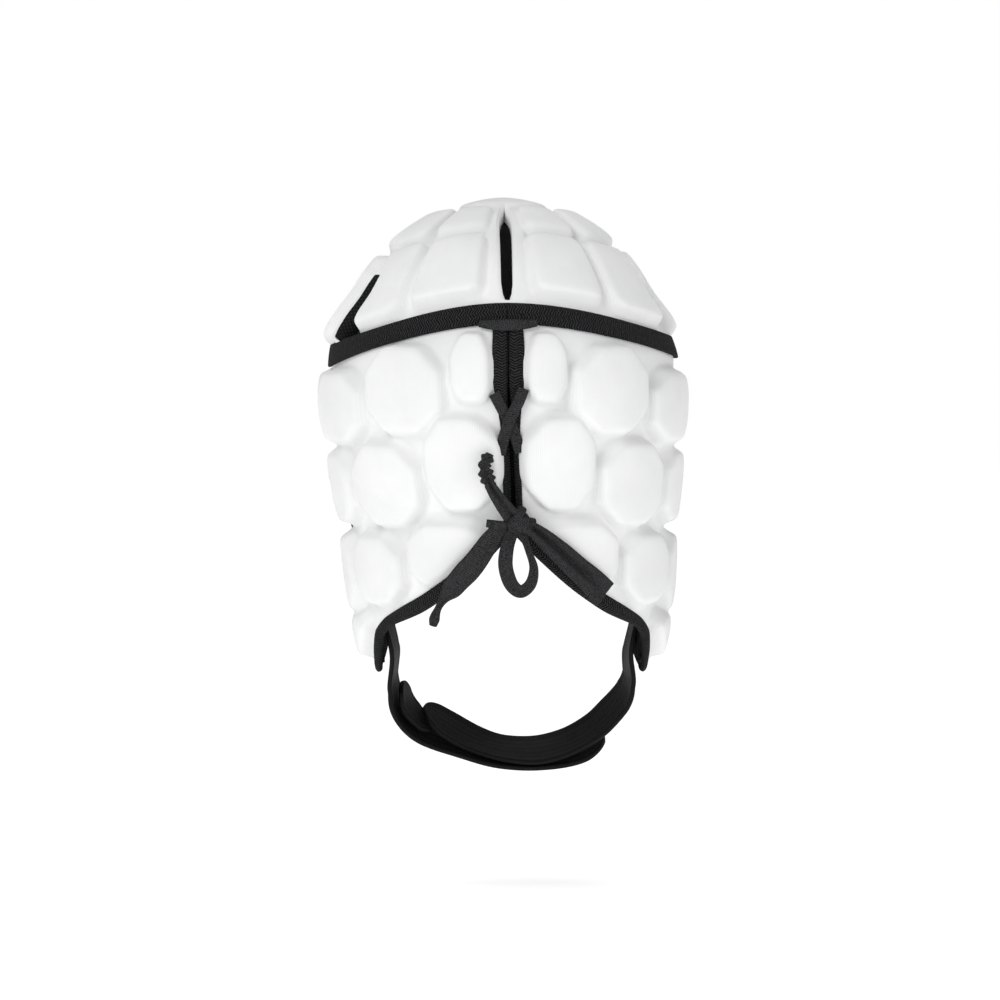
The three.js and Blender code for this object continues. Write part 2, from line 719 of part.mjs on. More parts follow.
place("closure_tab", geometryOf(stripOf(tabStations, false)), strapWeb);
place("lace_bar", geometryOf(flatLace(crossBar, 0.55)), blackLace);
place("lace_cross_over", geometryOf(flatLace(crossOver, 0)), blackLace);
place("lace_cross_under", geometryOf(flatLace(crossUnder, 0)), blackLace);
place("lace_knot", knotGeometry(), blackLace).position.copy(knotPlace);
for (const [name, points] of Object.entries(laceRoutes)) {
  place(name, laceTubeGeometry(points), blackLace);
}

export default cap;
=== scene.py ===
import math

import bmesh
import bpy
import numpy as np
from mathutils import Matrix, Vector


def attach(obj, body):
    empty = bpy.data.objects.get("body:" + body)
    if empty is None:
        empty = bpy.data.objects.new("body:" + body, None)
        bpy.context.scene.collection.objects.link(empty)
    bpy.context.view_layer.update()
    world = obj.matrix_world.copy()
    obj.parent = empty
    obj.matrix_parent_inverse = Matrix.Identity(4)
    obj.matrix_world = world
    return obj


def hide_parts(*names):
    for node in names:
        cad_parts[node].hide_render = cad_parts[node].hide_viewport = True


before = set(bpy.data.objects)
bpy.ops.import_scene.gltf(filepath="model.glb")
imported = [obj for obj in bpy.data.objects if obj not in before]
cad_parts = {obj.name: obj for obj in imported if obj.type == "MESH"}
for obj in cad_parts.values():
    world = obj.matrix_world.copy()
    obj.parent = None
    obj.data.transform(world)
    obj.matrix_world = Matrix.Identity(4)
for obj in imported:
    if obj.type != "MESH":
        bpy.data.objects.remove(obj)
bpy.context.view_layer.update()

MM = 0.001
SIDES = (("left", -1), ("right", 1))

# Sizes of the cap in millimetres, as in the frame
HALF_WIDTH = 84.5
BACK_DEPTH = 95.0
FRONT_DEPTH = 103.0
CAP_HEIGHT = 224.0
PANEL_WALL = 3.0
LINING_WALL = 1.2
PIECE_GAP = 0.3
SEAM_GAP = 0.6
TURN = 1.7
FLAP_LEAN = 4.0
BAND_BACK_DROP = 52.0
BAND_SIDE_FALL = 16.0
BAND_LEFT_FALL = 4.0
BAND_FRONT_RISE = 5.0
BAND_HEIGHT = 10.5
BACK_EDGE_ANGLE = 4.6
SLIT_WIDTH = 6.0
SIDE_SLIT_WIDTH = 8.0
SIDE_SLIT_ANGLE = 83.0
LEFT_SLIT_ANGLE = 71.5
LEFT_SLIT_WIDTH = 12.5
LEFT_PAD_SHIFT = 8.5
EAR_WIDTH = 34.0
EAR_HEIGHT = 36.0
EAR_ANGLE = 103.0
EAR_DROP = 139.0
EDGE_BINDING_WIDTH = 5.6
CLOTH_WALL = PANEL_WALL + PIECE_GAP + LINING_WALL
PANEL_TOP = BAND_BACK_DROP + BAND_HEIGHT / 2 + SEAM_GAP
TEMPLE_ANGLE = 140.0
FLAP_MIDDLE = 88.0
# The white cover's edge at the back slit: depths where it is drawn in, and how far it then lies away
DRAWN_EDGE = {"top": 78.0, "foot": 112.0, -1: 2.9, 1: 4.2}
DRAWN_ANGLE = 18.0

# The cloth's own coordinates in millimetres: once round the cap, and from the pole to the band
CLOTH_GIRTH = 560.0
CROWN_LENGTH = 112.0
CROWN_LEVELS = 7.0

# Sections at groove depth, crown to flap tips: drop, half width, back and front, as shares
SECTIONS = {
    "drop": [0, 0.018, 0.046, 0.092, 0.143, 0.2, 0.255, 0.31, 0.38, 0.47, 0.56, 0.65, 0.74, 0.83,
             0.92, 1, 1.06],
    "half": [0, 0.278, 0.44, 0.61, 0.72, 0.815, 0.925, 1.0, 1.004, 0.992, 0.962, 0.93, 0.9, 0.878,
             0.85, 0.805, 0.76],
    "back": [0, 0.29, 0.46, 0.66, 0.79, 0.88, 0.945, 0.985, 1, 0.99, 0.945, 0.87, 0.8, 0.74, 0.7,
             0.67, 0.64],
    "front": [0, 0.29, 0.46, 0.66, 0.8, 0.89, 0.95, 0.985, 1, 0.97, 0.91, 0.83, 0.74, 0.65, 0.57,
              0.5, 0.45],
}

# The side panel's free edge: angle round from the back slit, drop as a share of the height
PANEL_EDGE = [
    (-8, 0.64), (0, 0.672), (12, 0.742), (24, 0.802), (36, 0.845), (48, 0.876), (60, 0.903),
    (70, 0.932), (77, 0.968), (84, 1.0), (92, 1.01), (100, 0.995), (107, 0.955), (114, 0.89),
    (120, 0.81),
    (126, 0.71), (132, 0.56), (137, 0.42), (140, 0.36), (143, 0.31),
]

# Pads: from angle, to angle, top, foot, share of the corner that is cut
CROWN_PADS = [
    (10, 46, 0.2, 0.475, 0.2), (48.5, 88, 0.2, 0.475, 0.2),
    (91, 127, 0.2, 0.475, 0.2), (130, 174, 0.2, 0.475, 0.2),
    (10, 40, 0.5, 0.95, 0.2), (42.5, 73, 0.5, 0.975, 0.2), (86, 113, 0.5, 1.01, 0.2),
    (115.5, 144, 0.5, 1.0, 0.2), (146.5, 177, 0.5, 0.98, 0.2),
]
CROWN_MIDDLE_PAD = 0.18
CROWN_MIDDLE_RISE = 0.8
SLIT_BORDER = {"width": 11.0, "rise": 4.5}
SIDE_PADS = [
    (5.5, 18.8, 0.276, 0.424, 0.5), (20.5, 50, 0.302, 0.49, 0.55), (52, 87, 0.352, 0.512, 0.5),
    (89.5, 117, 0.35, 0.512, 0.55), (119.5, 134, 0.335, 0.47, 0.55), (5.4, 29, 0.446, 0.652, 0.55),
    (30.5, 61.5, 0.502, 0.69, 0.55), (64, 89, 0.524, 0.69, 0.5), (118, 130, 0.495, 0.66, 0.5),
    (7, 40, 0.672, 0.83, 0.5), (42, 72.5, 0.703, 0.868, 0.55), (75, 98, 0.71, 0.888, 0.5),
    (100.5, 119, 0.738, 0.868, 0.55), (70, 89, 0.885, 0.995, 0.45), (91, 107, 0.905, 0.99, 0.45),
]
PAD_EDGE_MARGIN = 2.6
# How softly a pad's sides meet at its corners, in millimetres
PAD_CORNER = 0.9
# Where no pad is near
FAR_OUTSIDE = -50.0


# The smooth curve between start and end, by share, which also heeds the points on either side
def curve(before, start, end, after, share):
    return 0.5 * (2 * start + (end - before) * share
                  + (2 * before - 5 * start + 4 * end - after) * share ** 2
                  + (3 * start - before - 3 * end + after) * share ** 3)


# A smooth curve through evenly spaced rows
def through_rows(rows, place):
    row = np.clip(np.floor(place).astype(int), 0, len(rows) - 4)
    share = place - row
    return curve(*(rows[row + k] for k in range(4)), share)


def section(level, column):
    rows = np.array(SECTIONS[column], dtype=float)
    sign = 1 if column == "drop" else -1
    rows = np.concatenate([[sign * rows[1]], rows, [2 * rows[-1] - rows[-2]]])
    level = np.clip(level, 0, len(rows) - 3 - 1e-9)
    return through_rows(rows, level)


LEVELS = np.linspace(0, len(SECTIONS["drop"]) - 1, 6001)
LEVEL_DEPTHS = section(LEVELS, "drop") * CAP_HEIGHT


def level_at(depth):
    return np.interp(depth, LEVEL_DEPTHS, LEVELS)


def smoothstep(value, low, high):
    share = np.clip((value - low) / (high - low), 0, 1)
    return share * share * (3 - 2 * share)


def half_at(level):
    return HALF_WIDTH * section(level, "half")


# A point of the cap at groove depth; angle runs from the back round to the face
def cap_point(angle, level):
    angle, level = np.broadcast_arrays(np.asarray(angle, float), np.asarray(level, float))
    depth = section(level, "drop") * CAP_HEIGHT
    around = np.radians(angle + TURN)
    reach = np.where(np.cos(around) > 0, BACK_DEPTH * section(level, "back"),
                     FRONT_DEPTH * section(level, "front"))
    lean = FLAP_LEAN * smoothstep(depth / CAP_HEIGHT, 0.36, 0.95)
    return np.stack([half_at(level) * np.sin(around) + lean,
                     -reach * np.cos(around), CLOTH_WALL - depth], axis=-1)


def unit(vectors):
    return vectors / np.maximum(np.linalg.norm(vectors, axis=-1, keepdims=True), 1e-9)


def cap_normal(angle, level):
    step = 0.03
    low = np.maximum(level, 0.06)
    along = cap_point(angle + step, low) - cap_point(angle - step, low)
    down = cap_point(angle, low + step) - cap_point(angle, low - step)
    normal = unit(np.cross(down, along))
    blend = np.clip(np.asarray(level, float) / 0.3, 0, 1)[..., None]
    return unit(normal * blend + np.array([0, 0, 1.0]) * (1 - blend))


def standing(angle, level, stand):
    stand = np.asarray(stand, float)[..., None]
    return cap_point(angle, level) + cap_normal(angle, level) * stand


def band_depth(angle):
    swing = np.sin(np.radians(angle)) ** 2
    left = BAND_LEFT_FALL * np.maximum(-np.sin(np.radians(angle)), 0) ** 2
    back = BAND_BACK_DROP + BAND_SIDE_FALL * swing
    front = BAND_BACK_DROP + BAND_SIDE_FALL - BAND_FRONT_RISE * (1 - swing)
    return left + np.where(np.cos(np.radians(angle)) > 0, back, front)


def edge_depth(angle):
    angle = np.abs(np.asarray(angle, float))
    angles = np.array([row[0] for row in PANEL_EDGE], float)
    drops = np.array([row[1] for row in PANEL_EDGE], float)
    place = np.interp(angle, angles, np.arange(len(angles)))
    place = np.clip(place, 1, len(angles) - 2 - 1e-6)
    return CAP_HEIGHT * through_rows(drops, place - 1)


def add_object(name, data):
    made = bpy.data.objects.new(name, data)
    bpy.context.scene.collection.objects.link(made)
    return made


# Meshes
def add_mesh(name, points, faces, uvs=None, smooth=True):
    mesh = bpy.data.meshes.new(name)
    mesh.from_pydata((np.asarray(points) * MM).tolist(), [], faces)
    if uvs is not None:
        layer = mesh.uv_layers.new(name="cloth")
        loops = np.empty(len(mesh.loops), dtype=int)
        mesh.loops.foreach_get("vertex_index", loops)
        layer.data.foreach_set("uv", np.asarray(uvs, float)[loops].ravel())
    mesh.polygons.foreach_set("use_smooth", [smooth] * len(mesh.polygons))
    mesh.update()
    return add_object(name, mesh)


def grid_faces(rows, columns, start=0, flip=False, closed=False):
    r = np.arange(rows - 1)[:, None]
    c = np.arange(columns if closed else columns - 1)[None, :]
    n = (c + 1) % columns
    quads = np.stack([start + r * columns + c, start + (r + 1) * columns + c,
                      start + (r + 1) * columns + n, start + r * columns + n], axis=-1)
    quads = quads.reshape(-1, 4)
    return quads[:, ::-1] if flip else quads


# Pad relief
def smooth_max(values, radius):
    values = np.stack(values)
    peak = values.max(axis=0)
    return peak + radius * np.log(np.exp((values - peak) / radius).sum(axis=0))


# How far a point lies inside a pad's outline, in millimetres
def pad_inside(angle, place, pad, level_of):
    start, end, top, foot, cut = pad
    middle = (start + end) / 2
    centre = (top + foot) / 2
    across = cap_point(end, level_of(end, centre)) - cap_point(start, level_of(start, centre))
    down = cap_point(middle, level_of(middle, foot)) - cap_point(middle, level_of(middle, top))
    half_u = np.linalg.norm(across) / 2 * 1.03
    half_v = np.linalg.norm(down) / 2 * 1.02
    u = np.abs(angle - middle) / ((end - start) / 2)
    v = np.abs(place - centre) / ((foot - top) / 2)
    corner = (u + v - (2 - cut)) / math.hypot(1 / half_u, 1 / half_v)
    return -smooth_max([(u - 1) * half_u, (v - 1) * half_v, corner], PAD_CORNER)


# Height over the groove, by distance inside the outline: a steep side, a bevel and a flat face
PAD_PROFILE = np.array([(0, 0), (0.5, 4.6), (1.4, 6.7), (2.6, 7.6), (5, 8.15), (12, 8.6), (22, 8.8)])


def pad_height(inside):
    return np.interp(inside, PAD_PROFILE[:, 0], PAD_PROFILE[:, 1])


def blur(field, passes, closed):
    for _ in range(passes):
        if closed:
            sides = np.roll(field, 1, axis=1) + np.roll(field, -1, axis=1)
        else:
            wide = np.pad(field, ((0, 0), (1, 1)), mode="edge")
            sides = wide[:, :-2] + wide[:, 2:]
        tall = np.pad(field, ((1, 1), (0, 0)), mode="edge")
        field = 0.5 * field + 0.125 * (sides + tall[:-2] + tall[2:])
    return field


COVER_SAG = 0.15
COVER_PASSES = 36


# The knit cover is relaxed over the foam: it sags into the grooves but never sinks into a pad
def stretch_cover(foam, passes, closed):
    cover = foam.copy()
    for _ in range(passes):
        cover = np.maximum(foam, blur(cover, 1, closed) - COVER_SAG)
    return blur(cover, 1, closed)


# A cloth wall from an outer and an inner grid of points, closed along its free edges. keep marks the
# quads that stay, and cuts lists the columns whose points part into two copies over some rows.
def wall_mesh(name, outer, inner, uvs, keep, closed, cuts=()):
    rows, columns = outer.shape[:2]
    count = rows * columns
    points = np.concatenate([outer.reshape(-1, 3), inner.reshape(-1, 3)])
    coords = np.concatenate([uvs.reshape(-1, 2), uvs.reshape(-1, 2)])
    quads = grid_faces(rows, columns, closed=closed)[keep.ravel()]
    extra_points = []
    extra_uvs = []
    for column, part_rows, left_outer, left_inner in cuts:
        before = (column - 1) % columns
        for row, out_point, in_point in zip(part_rows, left_outer, left_inner):
            old = row * columns + column
            new = 2 * count + len(extra_points)
            extra_points += [out_point, in_point]
            extra_uvs += [coords[old], coords[old]]
            beside = {row * columns + before, (row - 1) * columns + before,
                      (row + 1) * columns + before}
            near = np.isin(quads, list(beside)).any(axis=1) & (quads == old).any(axis=1)
            block = quads[near]
            block[block == old] = new
            quads[near] = block
    inner_quads = quads + count
    for index in range(0, len(extra_points), 2):
        inner_quads[quads == 2 * count + index] = 2 * count + index + 1
    faces = np.concatenate([quads, inner_quads[:, ::-1]])
    corners = (quads, np.roll(quads, -1, axis=1), inner_quads, np.roll(inner_quads, -1, axis=1))
    edges = np.stack([corner.ravel() for corner in corners], axis=1)
    size = 2 * count + len(extra_points) + 1
    forward = edges[:, 0] * size + edges[:, 1]
    backward = edges[:, 1] * size + edges[:, 0]
    rim = edges[~np.isin(forward, backward)]
    rim_faces = np.stack([rim[:, 1], rim[:, 0], rim[:, 2], rim[:, 3]], axis=1)
    all_faces = np.concatenate([faces, rim_faces])
    if extra_points:
        points = np.concatenate([points, np.array(extra_points)])
        coords = np.concatenate([coords, np.array(extra_uvs)])
    return add_mesh(name, points, all_faces.tolist(), coords)


# A slit's opening as a share of its width, by share of its length
SLIT_SHAPE = np.array([(0, 0), (0.08, 0.4), (0.2, 0.85), (0.32, 1), (0.84, 0.96), (0.94, 0.7),
                       (1, 0.3), (1.0001, 0)])


# Half the opening of a slit, in degrees, at each level of one meridian
def slit_half(level, top, foot, width, radius):
    along = (level - top) / (foot - top)
    half = np.interp(along, SLIT_SHAPE[:, 0], SLIT_SHAPE[:, 1], left=0, right=0) * width / 2
    return np.degrees(half / np.maximum(radius, 1))


def crown_foot_depth(angle):
    return band_depth(angle) - BAND_HEIGHT / 2 - SEAM_GAP


# front tells which side of a slit faces forwards. gape is how far that side stands out there.
SLITS = [
    {"angle": 0.0, "top": 0.7, "foot": 0.985, "width": SLIT_WIDTH, "reach": 9.0, "depth": HALF_WIDTH,
     "column": "half", "front": 1, "gape": 0.0},
    {"angle": SIDE_SLIT_ANGLE, "top": 4.2, "foot": 6.4, "width": SIDE_SLIT_WIDTH, "reach": 6.5,
     "depth": BACK_DEPTH, "column": "back", "front": 1, "gape": 0.0},
    {"angle": 360 - LEFT_SLIT_ANGLE, "top": 4.0, "foot": 6.75, "width": LEFT_SLIT_WIDTH, "reach": 6.5,
     "depth": BACK_DEPTH, "column": "back", "front": -1, "gape": 6.0},
]
CROWN_COLUMNS = 432
CROWN_ROWS = 96
CROWN_LINING_GRID = (216, 40)
SIDE_LINING_GRID = (90, 60)
HEM_ROWS = 5
HEM_GAP = 0.5
EDGE_ROLL = 1.3
LIP_REACH = 5.0
LIP_THICKNESS = 1.0
POLE_SHARE = 0.004
# Round the left slit: how far the pads' shift and the lips' gape spread, in degrees
SHIFT_SPREAD = 18.0
GAPE_SPREAD = 9.0
GAPE_FULL = math.degrees(2.6)
THIN_FULL = 60.0
SLIT_CLOSED = 1e-4
# The lining's edge rolls in less than the cover's
LINING_ROLL = 0.2
# How far the lip behind a gaping slit sinks, as a share of the front lip's rise
GAPE_SINK = -0.6


# Height over the crown's grooves: the pads, the middle pad and the border beside the centre slit
def crown_relief(angle, folded, place, level, foot, pads):
    inside = np.full(level.shape, FAR_OUTSIDE)
    for pad in pads:
        inside = np.maximum(inside, pad_inside(
            folded, place, pad, lambda a, s: s * level_at(crown_foot_depth(a))))
    from_pole = np.linalg.norm(cap_point(angle, level) - cap_point(0, 0), axis=-1)
    pole_radius = np.linalg.norm(cap_point(90, CROWN_MIDDLE_PAD * foot[0]) - cap_point(0, 0))
    foam = np.maximum(pad_height(inside), CROWN_MIDDLE_RISE * pad_height(pole_radius - from_pole))
    from_slit = np.abs(half_at(level) * np.sin(np.radians(folded)))
    width = SLIT_BORDER["width"]
    border = SLIT_BORDER["rise"] * (1 - smoothstep(from_slit, width - 3, width + 1))
    border = border * (folded < 90) * (1 - 0.75 * smoothstep(place, 0.3, 0.95))
    return stretch_cover(np.maximum(foam, border), COVER_PASSES, True)


# What one slit does to the crown: how far it draws the cloth aside, its rolled lip, where the cloth
# thins, how far it gapes, and the opening itself
def part_slit(slit, angle, level, foot, roll):
    columns = level.shape[1]
    column = int(round(slit["angle"] / 360 * columns)) % columns
    middle = column * 360.0 / columns
    slit_foot = slit["foot"] * foot[column] if slit["foot"] < 1 else slit["foot"]
    radius = slit["depth"] * section(level, slit["column"])
    half = slit_half(level, slit["top"], slit_foot, slit["width"], radius)
    turn = (angle - middle + 180) % 360 - 180
    side = np.where(turn > -1e-6, 1.0, -1.0)
    aside = side * half * (1 - smoothstep(np.abs(turn), 0, slit["reach"]))
    span = np.abs(turn) * np.radians(1) * radius
    lip = np.exp(-(span / roll) ** 2) * (half > SLIT_CLOSED)
    thin = np.exp(-(span / LIP_REACH) ** 2) * smoothstep(half * radius, 0, THIN_FULL)
    spread = np.exp(-(turn / GAPE_SPREAD) ** 2) * smoothstep(half * radius, 0, GAPE_FULL)
    gape = slit["gape"] * spread * np.where(side == slit["front"], 1.0, GAPE_SINK)
    left_gape = slit["gape"] * spread[:, column] * np.where(slit["front"] == 1, GAPE_SINK, 1.0)
    rows = np.nonzero(half[:, column] > SLIT_CLOSED)[0]
    opening = (column, rows, middle - half[rows, column], left_gape[rows] - gape[rows, column])
    return aside, lip, thin * (slit["gape"] > 0), gape, opening


# The crown's wall, parted at the slits. Without pads it is the plain lining.
def crown_wall(name, columns, rows, outside, thickness, pads, roll):
    angles = np.arange(columns) * 360.0 / columns
    folded = np.minimum(angles, 360 - angles)
    foot = level_at(crown_foot_depth(angles))
    hem = level_at(band_depth(angles) - HEM_GAP)
    shares = np.concatenate([np.linspace(POLE_SHARE, 1, rows), np.full(HEM_ROWS, 1.0)])
    hem_share = np.concatenate([np.zeros(rows), np.linspace(0, 1, HEM_ROWS + 1)[1:]])
    level = shares[:, None] * foot[None, :] + hem_share[:, None] * (hem - foot)[None, :]
    grid_angle = np.broadcast_to(angles, level.shape)
    asides, lips, thins, gapes, openings = zip(
        *(part_slit(slit, grid_angle, level, foot, roll) for slit in SLITS))
    warped = sum(asides, grid_angle)
    gape = sum(gapes)
    height = np.zeros(level.shape)
    if pads:
        shift = LEFT_PAD_SHIFT * np.exp(-((folded - LEFT_SLIT_ANGLE) / SHIFT_SPREAD) ** 2)
        shifted = np.broadcast_to(folded + shift * (angles > 180), level.shape)
        place = shares[:, None] + hem_share[:, None] * 0.1 + 0 * level
        height = crown_relief(grid_angle, shifted, place, level, foot, pads)
    stand = outside + height
    stand = stand - EDGE_ROLL * np.maximum.reduce(lips) * (1 if pads else LINING_ROLL) + gape
    inside_stand = outside - thickness + gape
    if pads:
        inside_stand += sum(thins) * np.maximum(stand - LIP_THICKNESS - inside_stand, 0)
    outer = standing(warped, level, stand)
    inner = standing(warped, level, inside_stand)
    cuts = []
    for column, part_rows, left, step in openings:
        here = level[part_rows, column]
        cuts.append((column, part_rows, standing(left, here, stand[part_rows, column] + step),
                     standing(left, here, inside_stand[part_rows, column] + step)))
    arc = level / CROWN_LEVELS * CROWN_LENGTH
    uvs = np.stack([grid_angle / 360 * CLOTH_GIRTH * MM, arc * MM], axis=-1)
    keep = np.ones((level.shape[0] - 1, columns), dtype=bool)
    piece = wall_mesh(name, outer, inner, uvs, keep, True, cuts)
    close_pole(piece, columns, level.shape[0] * columns)
    return piece


# Puts an edited mesh back, with all faces turned outwards
def write_back(work, piece):
    bmesh.ops.recalc_face_normals(work, faces=work.faces)
    work.to_mesh(piece.data)
    work.free()
    piece.data.update()


# Closes the small ring that the grid leaves at the crown's middle, outside and inside
def close_pole(piece, columns, inner_start):
    work = bmesh.new()
    work.from_mesh(piece.data)
    work.verts.ensure_lookup_table()
    ring = [work.verts[i] for i in range(columns)]
    inner_ring = [work.verts[inner_start + i] for i in range(columns)]
    tops = set(ring) | set(inner_ring)
    walls = [face for face in work.faces if all(vert in tops for vert in face.verts)]
    bmesh.ops.delete(work, geom=walls, context="FACES_ONLY")
    work.faces.new(ring)
    work.faces.new(inner_ring[::-1])
    bmesh.ops.triangulate(work, faces=[face for face in work.faces if len(face.verts) > 4])
    write_back(work, piece)


SIDE_COLUMNS = 210
SIDE_ROWS = 124
# How far the cloth ends outside the ear hole, under the hole's binding
EAR_MARGIN = 2.8


def ear_share(angle, depth, margin):
    reach = FRONT_DEPTH * section(level_at(depth), "front")
    across = np.radians(angle - EAR_ANGLE) * reach / (EAR_WIDTH / 2 + margin)
    down = (depth - EAR_DROP) / (EAR_HEIGHT / 2 + margin)
    return np.hypot(across, down)


# How far the white cover's edge lies from the back slit's middle, in millimetres
def back_edge_span(side, depth):
    start = half_at(level_at(depth)) * math.radians(BACK_EDGE_ANGLE)
    drawn = smoothstep(depth, DRAWN_EDGE["top"], DRAWN_EDGE["foot"])
    return start + (DRAWN_EDGE[side] - start) * drawn


def side_wall(name, side, columns, rows, outside, thickness, pads, ear_margin):
    angles = np.linspace(BACK_EDGE_ANGLE, TEMPLE_ANGLE, columns)
    top = band_depth(side * angles) + BAND_HEIGHT / 2 + SEAM_GAP
    hem = band_depth(side * angles) + HEM_GAP
    foot = edge_depth(angles)
    shares = np.linspace(0, 1, rows)
    body = top[None, :] + shares[:, None] * (foot - top)[None, :]
    lead = np.linspace(0, 1, HEM_ROWS + 1)[:-1]
    head = hem[None, :] + lead[:, None] * (top - hem)[None, :]
    depth = np.concatenate([head, body])
    grid_angle = np.broadcast_to(angles, depth.shape)
    level = level_at(depth)
    height = np.zeros(depth.shape)
    if pads:
        slope = np.gradient(foot, angles) / (np.radians(1) * 85)
        edge_span = (foot[None, :] - PAD_EDGE_MARGIN - depth) / np.hypot(1, slope)[None, :]
        inside = np.full(depth.shape, FAR_OUTSIDE)
        for pad in pads:
            reach = pad_inside(grid_angle, depth / CAP_HEIGHT, pad,
                               lambda a, s: level_at(s * CAP_HEIGHT))
            inside = np.maximum(inside, -smooth_max([-reach, -edge_span], PAD_CORNER))
        height = stretch_cover(pad_height(inside), COVER_PASSES, False)
    span = back_edge_span(side, depth) / half_at(level)
    pull = BACK_EDGE_ANGLE - np.degrees(span)
    drawn = grid_angle - pull * (1 - smoothstep(grid_angle, BACK_EDGE_ANGLE, DRAWN_ANGLE))
    outer = standing(side * drawn, level, outside + height)
    inner = standing(side * drawn, level, outside - thickness + 0 * level)
    uvs = np.stack([side * grid_angle / 360 * CLOTH_GIRTH * MM, depth * MM], axis=-1)
    middle_angle = (grid_angle[:-1, :-1] + grid_angle[1:, 1:]) / 2
    middle_depth = (depth[:-1, :-1] + depth[1:, 1:]) / 2
    keep = ear_share(middle_angle, middle_depth, ear_margin) > 1
    piece = wall_mesh(name, outer, inner, uvs, keep, False)
    turn_outwards(piece)
    return piece


def turn_outwards(piece):
    work = bmesh.new()
    work.from_mesh(piece.data)
    loose = [vert for vert in work.verts if not vert.link_faces]
    bmesh.ops.delete(work, geom=loose, context="VERTS")
    write_back(work, piece)


# A closed strip swept along stations. profile holds (away, out) pairs round its section.
def sweep(name, centres, aways, outs, profile, closed=False):
    centres, aways, outs = (np.asarray(v, float) for v in (centres, aways, outs))
    profile = np.asarray(profile, float)
    if profile.ndim == 2:
        profile = np.broadcast_to(profile, (len(centres),) + profile.shape)
    rings = (centres[:, None, :] + aways[:, None, :] * profile[..., 0:1]
             + outs[:, None, :] * profile[..., 1:2])
    stations, around = rings.shape[:2]
    spans = np.linalg.norm(np.diff(centres, axis=0), axis=1)
    along = np.concatenate([[0], np.cumsum(spans)])
    steps = np.linalg.norm(np.diff(profile[0], axis=0), axis=1)
    girth = np.concatenate([[0], np.cumsum(steps)])
    uvs = np.stack(np.broadcast_arrays(along[:, None] * MM, girth[None, :] * MM), axis=-1)
    index = np.arange(stations * around).reshape(stations, around)
    wide = np.concatenate([index, index[:, :1]], axis=1)
    if closed:
        wide = np.concatenate([wide, wide[:1]], axis=0)
    quads = np.stack([wide[:-1, :-1], wide[1:, :-1], wide[1:, 1:], wide[:-1, 1:]], axis=-1)
    faces = quads.reshape(-1, 4).tolist()
    if not closed:
        faces += [index[0].tolist(), index[-1][::-1].tolist()]
    piece = add_mesh(name, rings.reshape(-1, 3), faces, uvs.reshape(-1, 2))
    turn_outwards(piece)
    return piece


# A smooth path through a few points, sampled evenly by length
def smooth_path(points, samples):
    points = np.asarray(points, float)
    ends = np.concatenate([[2 * points[0] - points[1]], points, [2 * points[-1] - points[-2]]])
    places = np.linspace(0, len(points) - 1 - 1e-9, 60 * len(points))
    rows = np.floor(places).astype(int)
    share = (places - rows)[:, None]
    dense = curve(*(ends[rows + k] for k in range(4)), share)
    steps = np.linalg.norm(np.diff(dense[:, :3], axis=0), axis=1)
    length = np.concatenate([[0], np.cumsum(steps)])
    even = np.linspace(0, length[-1], samples)
    return np.stack([np.interp(even, length, dense[:, k]) for k in range(dense.shape[1])], axis=-1)


def tangents(centres, closed=False):
    centres = np.asarray(centres, float)
    if closed:
        return unit(np.roll(centres, -1, axis=0) - np.roll(centres, 1, axis=0))
    return unit(np.gradient(centres, axis=0))


# A flat strip's section with rounded edges, as (away, out) pairs
def flat_section(width, thickness, points=6, bow=0.0):
    half = width / 2
    round_end = thickness / 2
    turns = np.linspace(-math.pi / 2, math.pi / 2, points)
    right = [(half - round_end + round_end * math.cos(t), round_end * math.sin(t)) for t in turns]
    top = [(x, round_end) for x in np.linspace(half - round_end, -half + round_end, 17)[1:-1]]
    left = [(-x, -y) for x, y in right]
    bottom = [(-x, -y) for x, y in top]
    section_points = np.array(right + top + left + bottom)
    section_points[:, 1] += bow * (1 - (section_points[:, 0] / half) ** 2)
    return section_points


# Materials
def new_material(name):
    material = bpy.data.materials.new(name)
    material.use_nodes = True
    tree = material.node_tree
    return material, tree, tree.nodes["Principled BSDF"]


def node(tree, kind, **values):
    made = tree.nodes.new(kind)
    for key, value in values.items():
        if key in made.inputs:
            made.inputs[key].default_value = value
        else:
            setattr(made, key, value)
    return made


def math_node(tree, operation, first, second=None):
    made = tree.nodes.new("ShaderNodeMath")
    made.operation = operation
    for slot, value in enumerate((first, second)):
        if value is None:
            continue
        if isinstance(value, (int, float)):
            made.inputs[slot].default_value = value
        else:
            tree.links.new(value, made.inputs[slot])
    return made.outputs[0]


def times(tree, first, second):
    return math_node(tree, "MULTIPLY", first, second)


def plus(tree, first, second):
    return math_node(tree, "ADD", first, second)


# A wave of a given pitch in metres along one coordinate, from 0 to 1
def ridges(tree, coordinate, pitch):
    turns = times(tree, coordinate, 2 * math.pi / pitch)
    wave = math_node(tree, "SINE", turns)
    return plus(tree, times(tree, wave, 0.5), 0.5)


def cloth_uv(tree):
    source = tree.nodes.new("ShaderNodeUVMap")
    source.uv_map = "cloth"
    parts = tree.nodes.new("ShaderNodeSeparateXYZ")
    tree.links.new(source.outputs[0], parts.inputs[0])
    return parts.outputs[0], parts.outputs[1]


def noise(tree, vector, scale, detail=3.0, roughness=0.55):
    made = node(tree, "ShaderNodeTexNoise", Scale=scale, Detail=detail, Roughness=roughness)
    tree.links.new(vector, made.inputs["Vector"])
    return made.outputs["Fac"]


def ramp(tree, factor, low, high, start=0.0, end=1.0):
    made = tree.nodes.new("ShaderNodeValToRGB")
    made.color_ramp.elements[0].position = start
    made.color_ramp.elements[0].color = (*low, 1)
    made.color_ramp.elements[1].position = end
    made.color_ramp.elements[1].color = (*high, 1)
    tree.links.new(factor, made.inputs[0])
    return made.outputs[0]


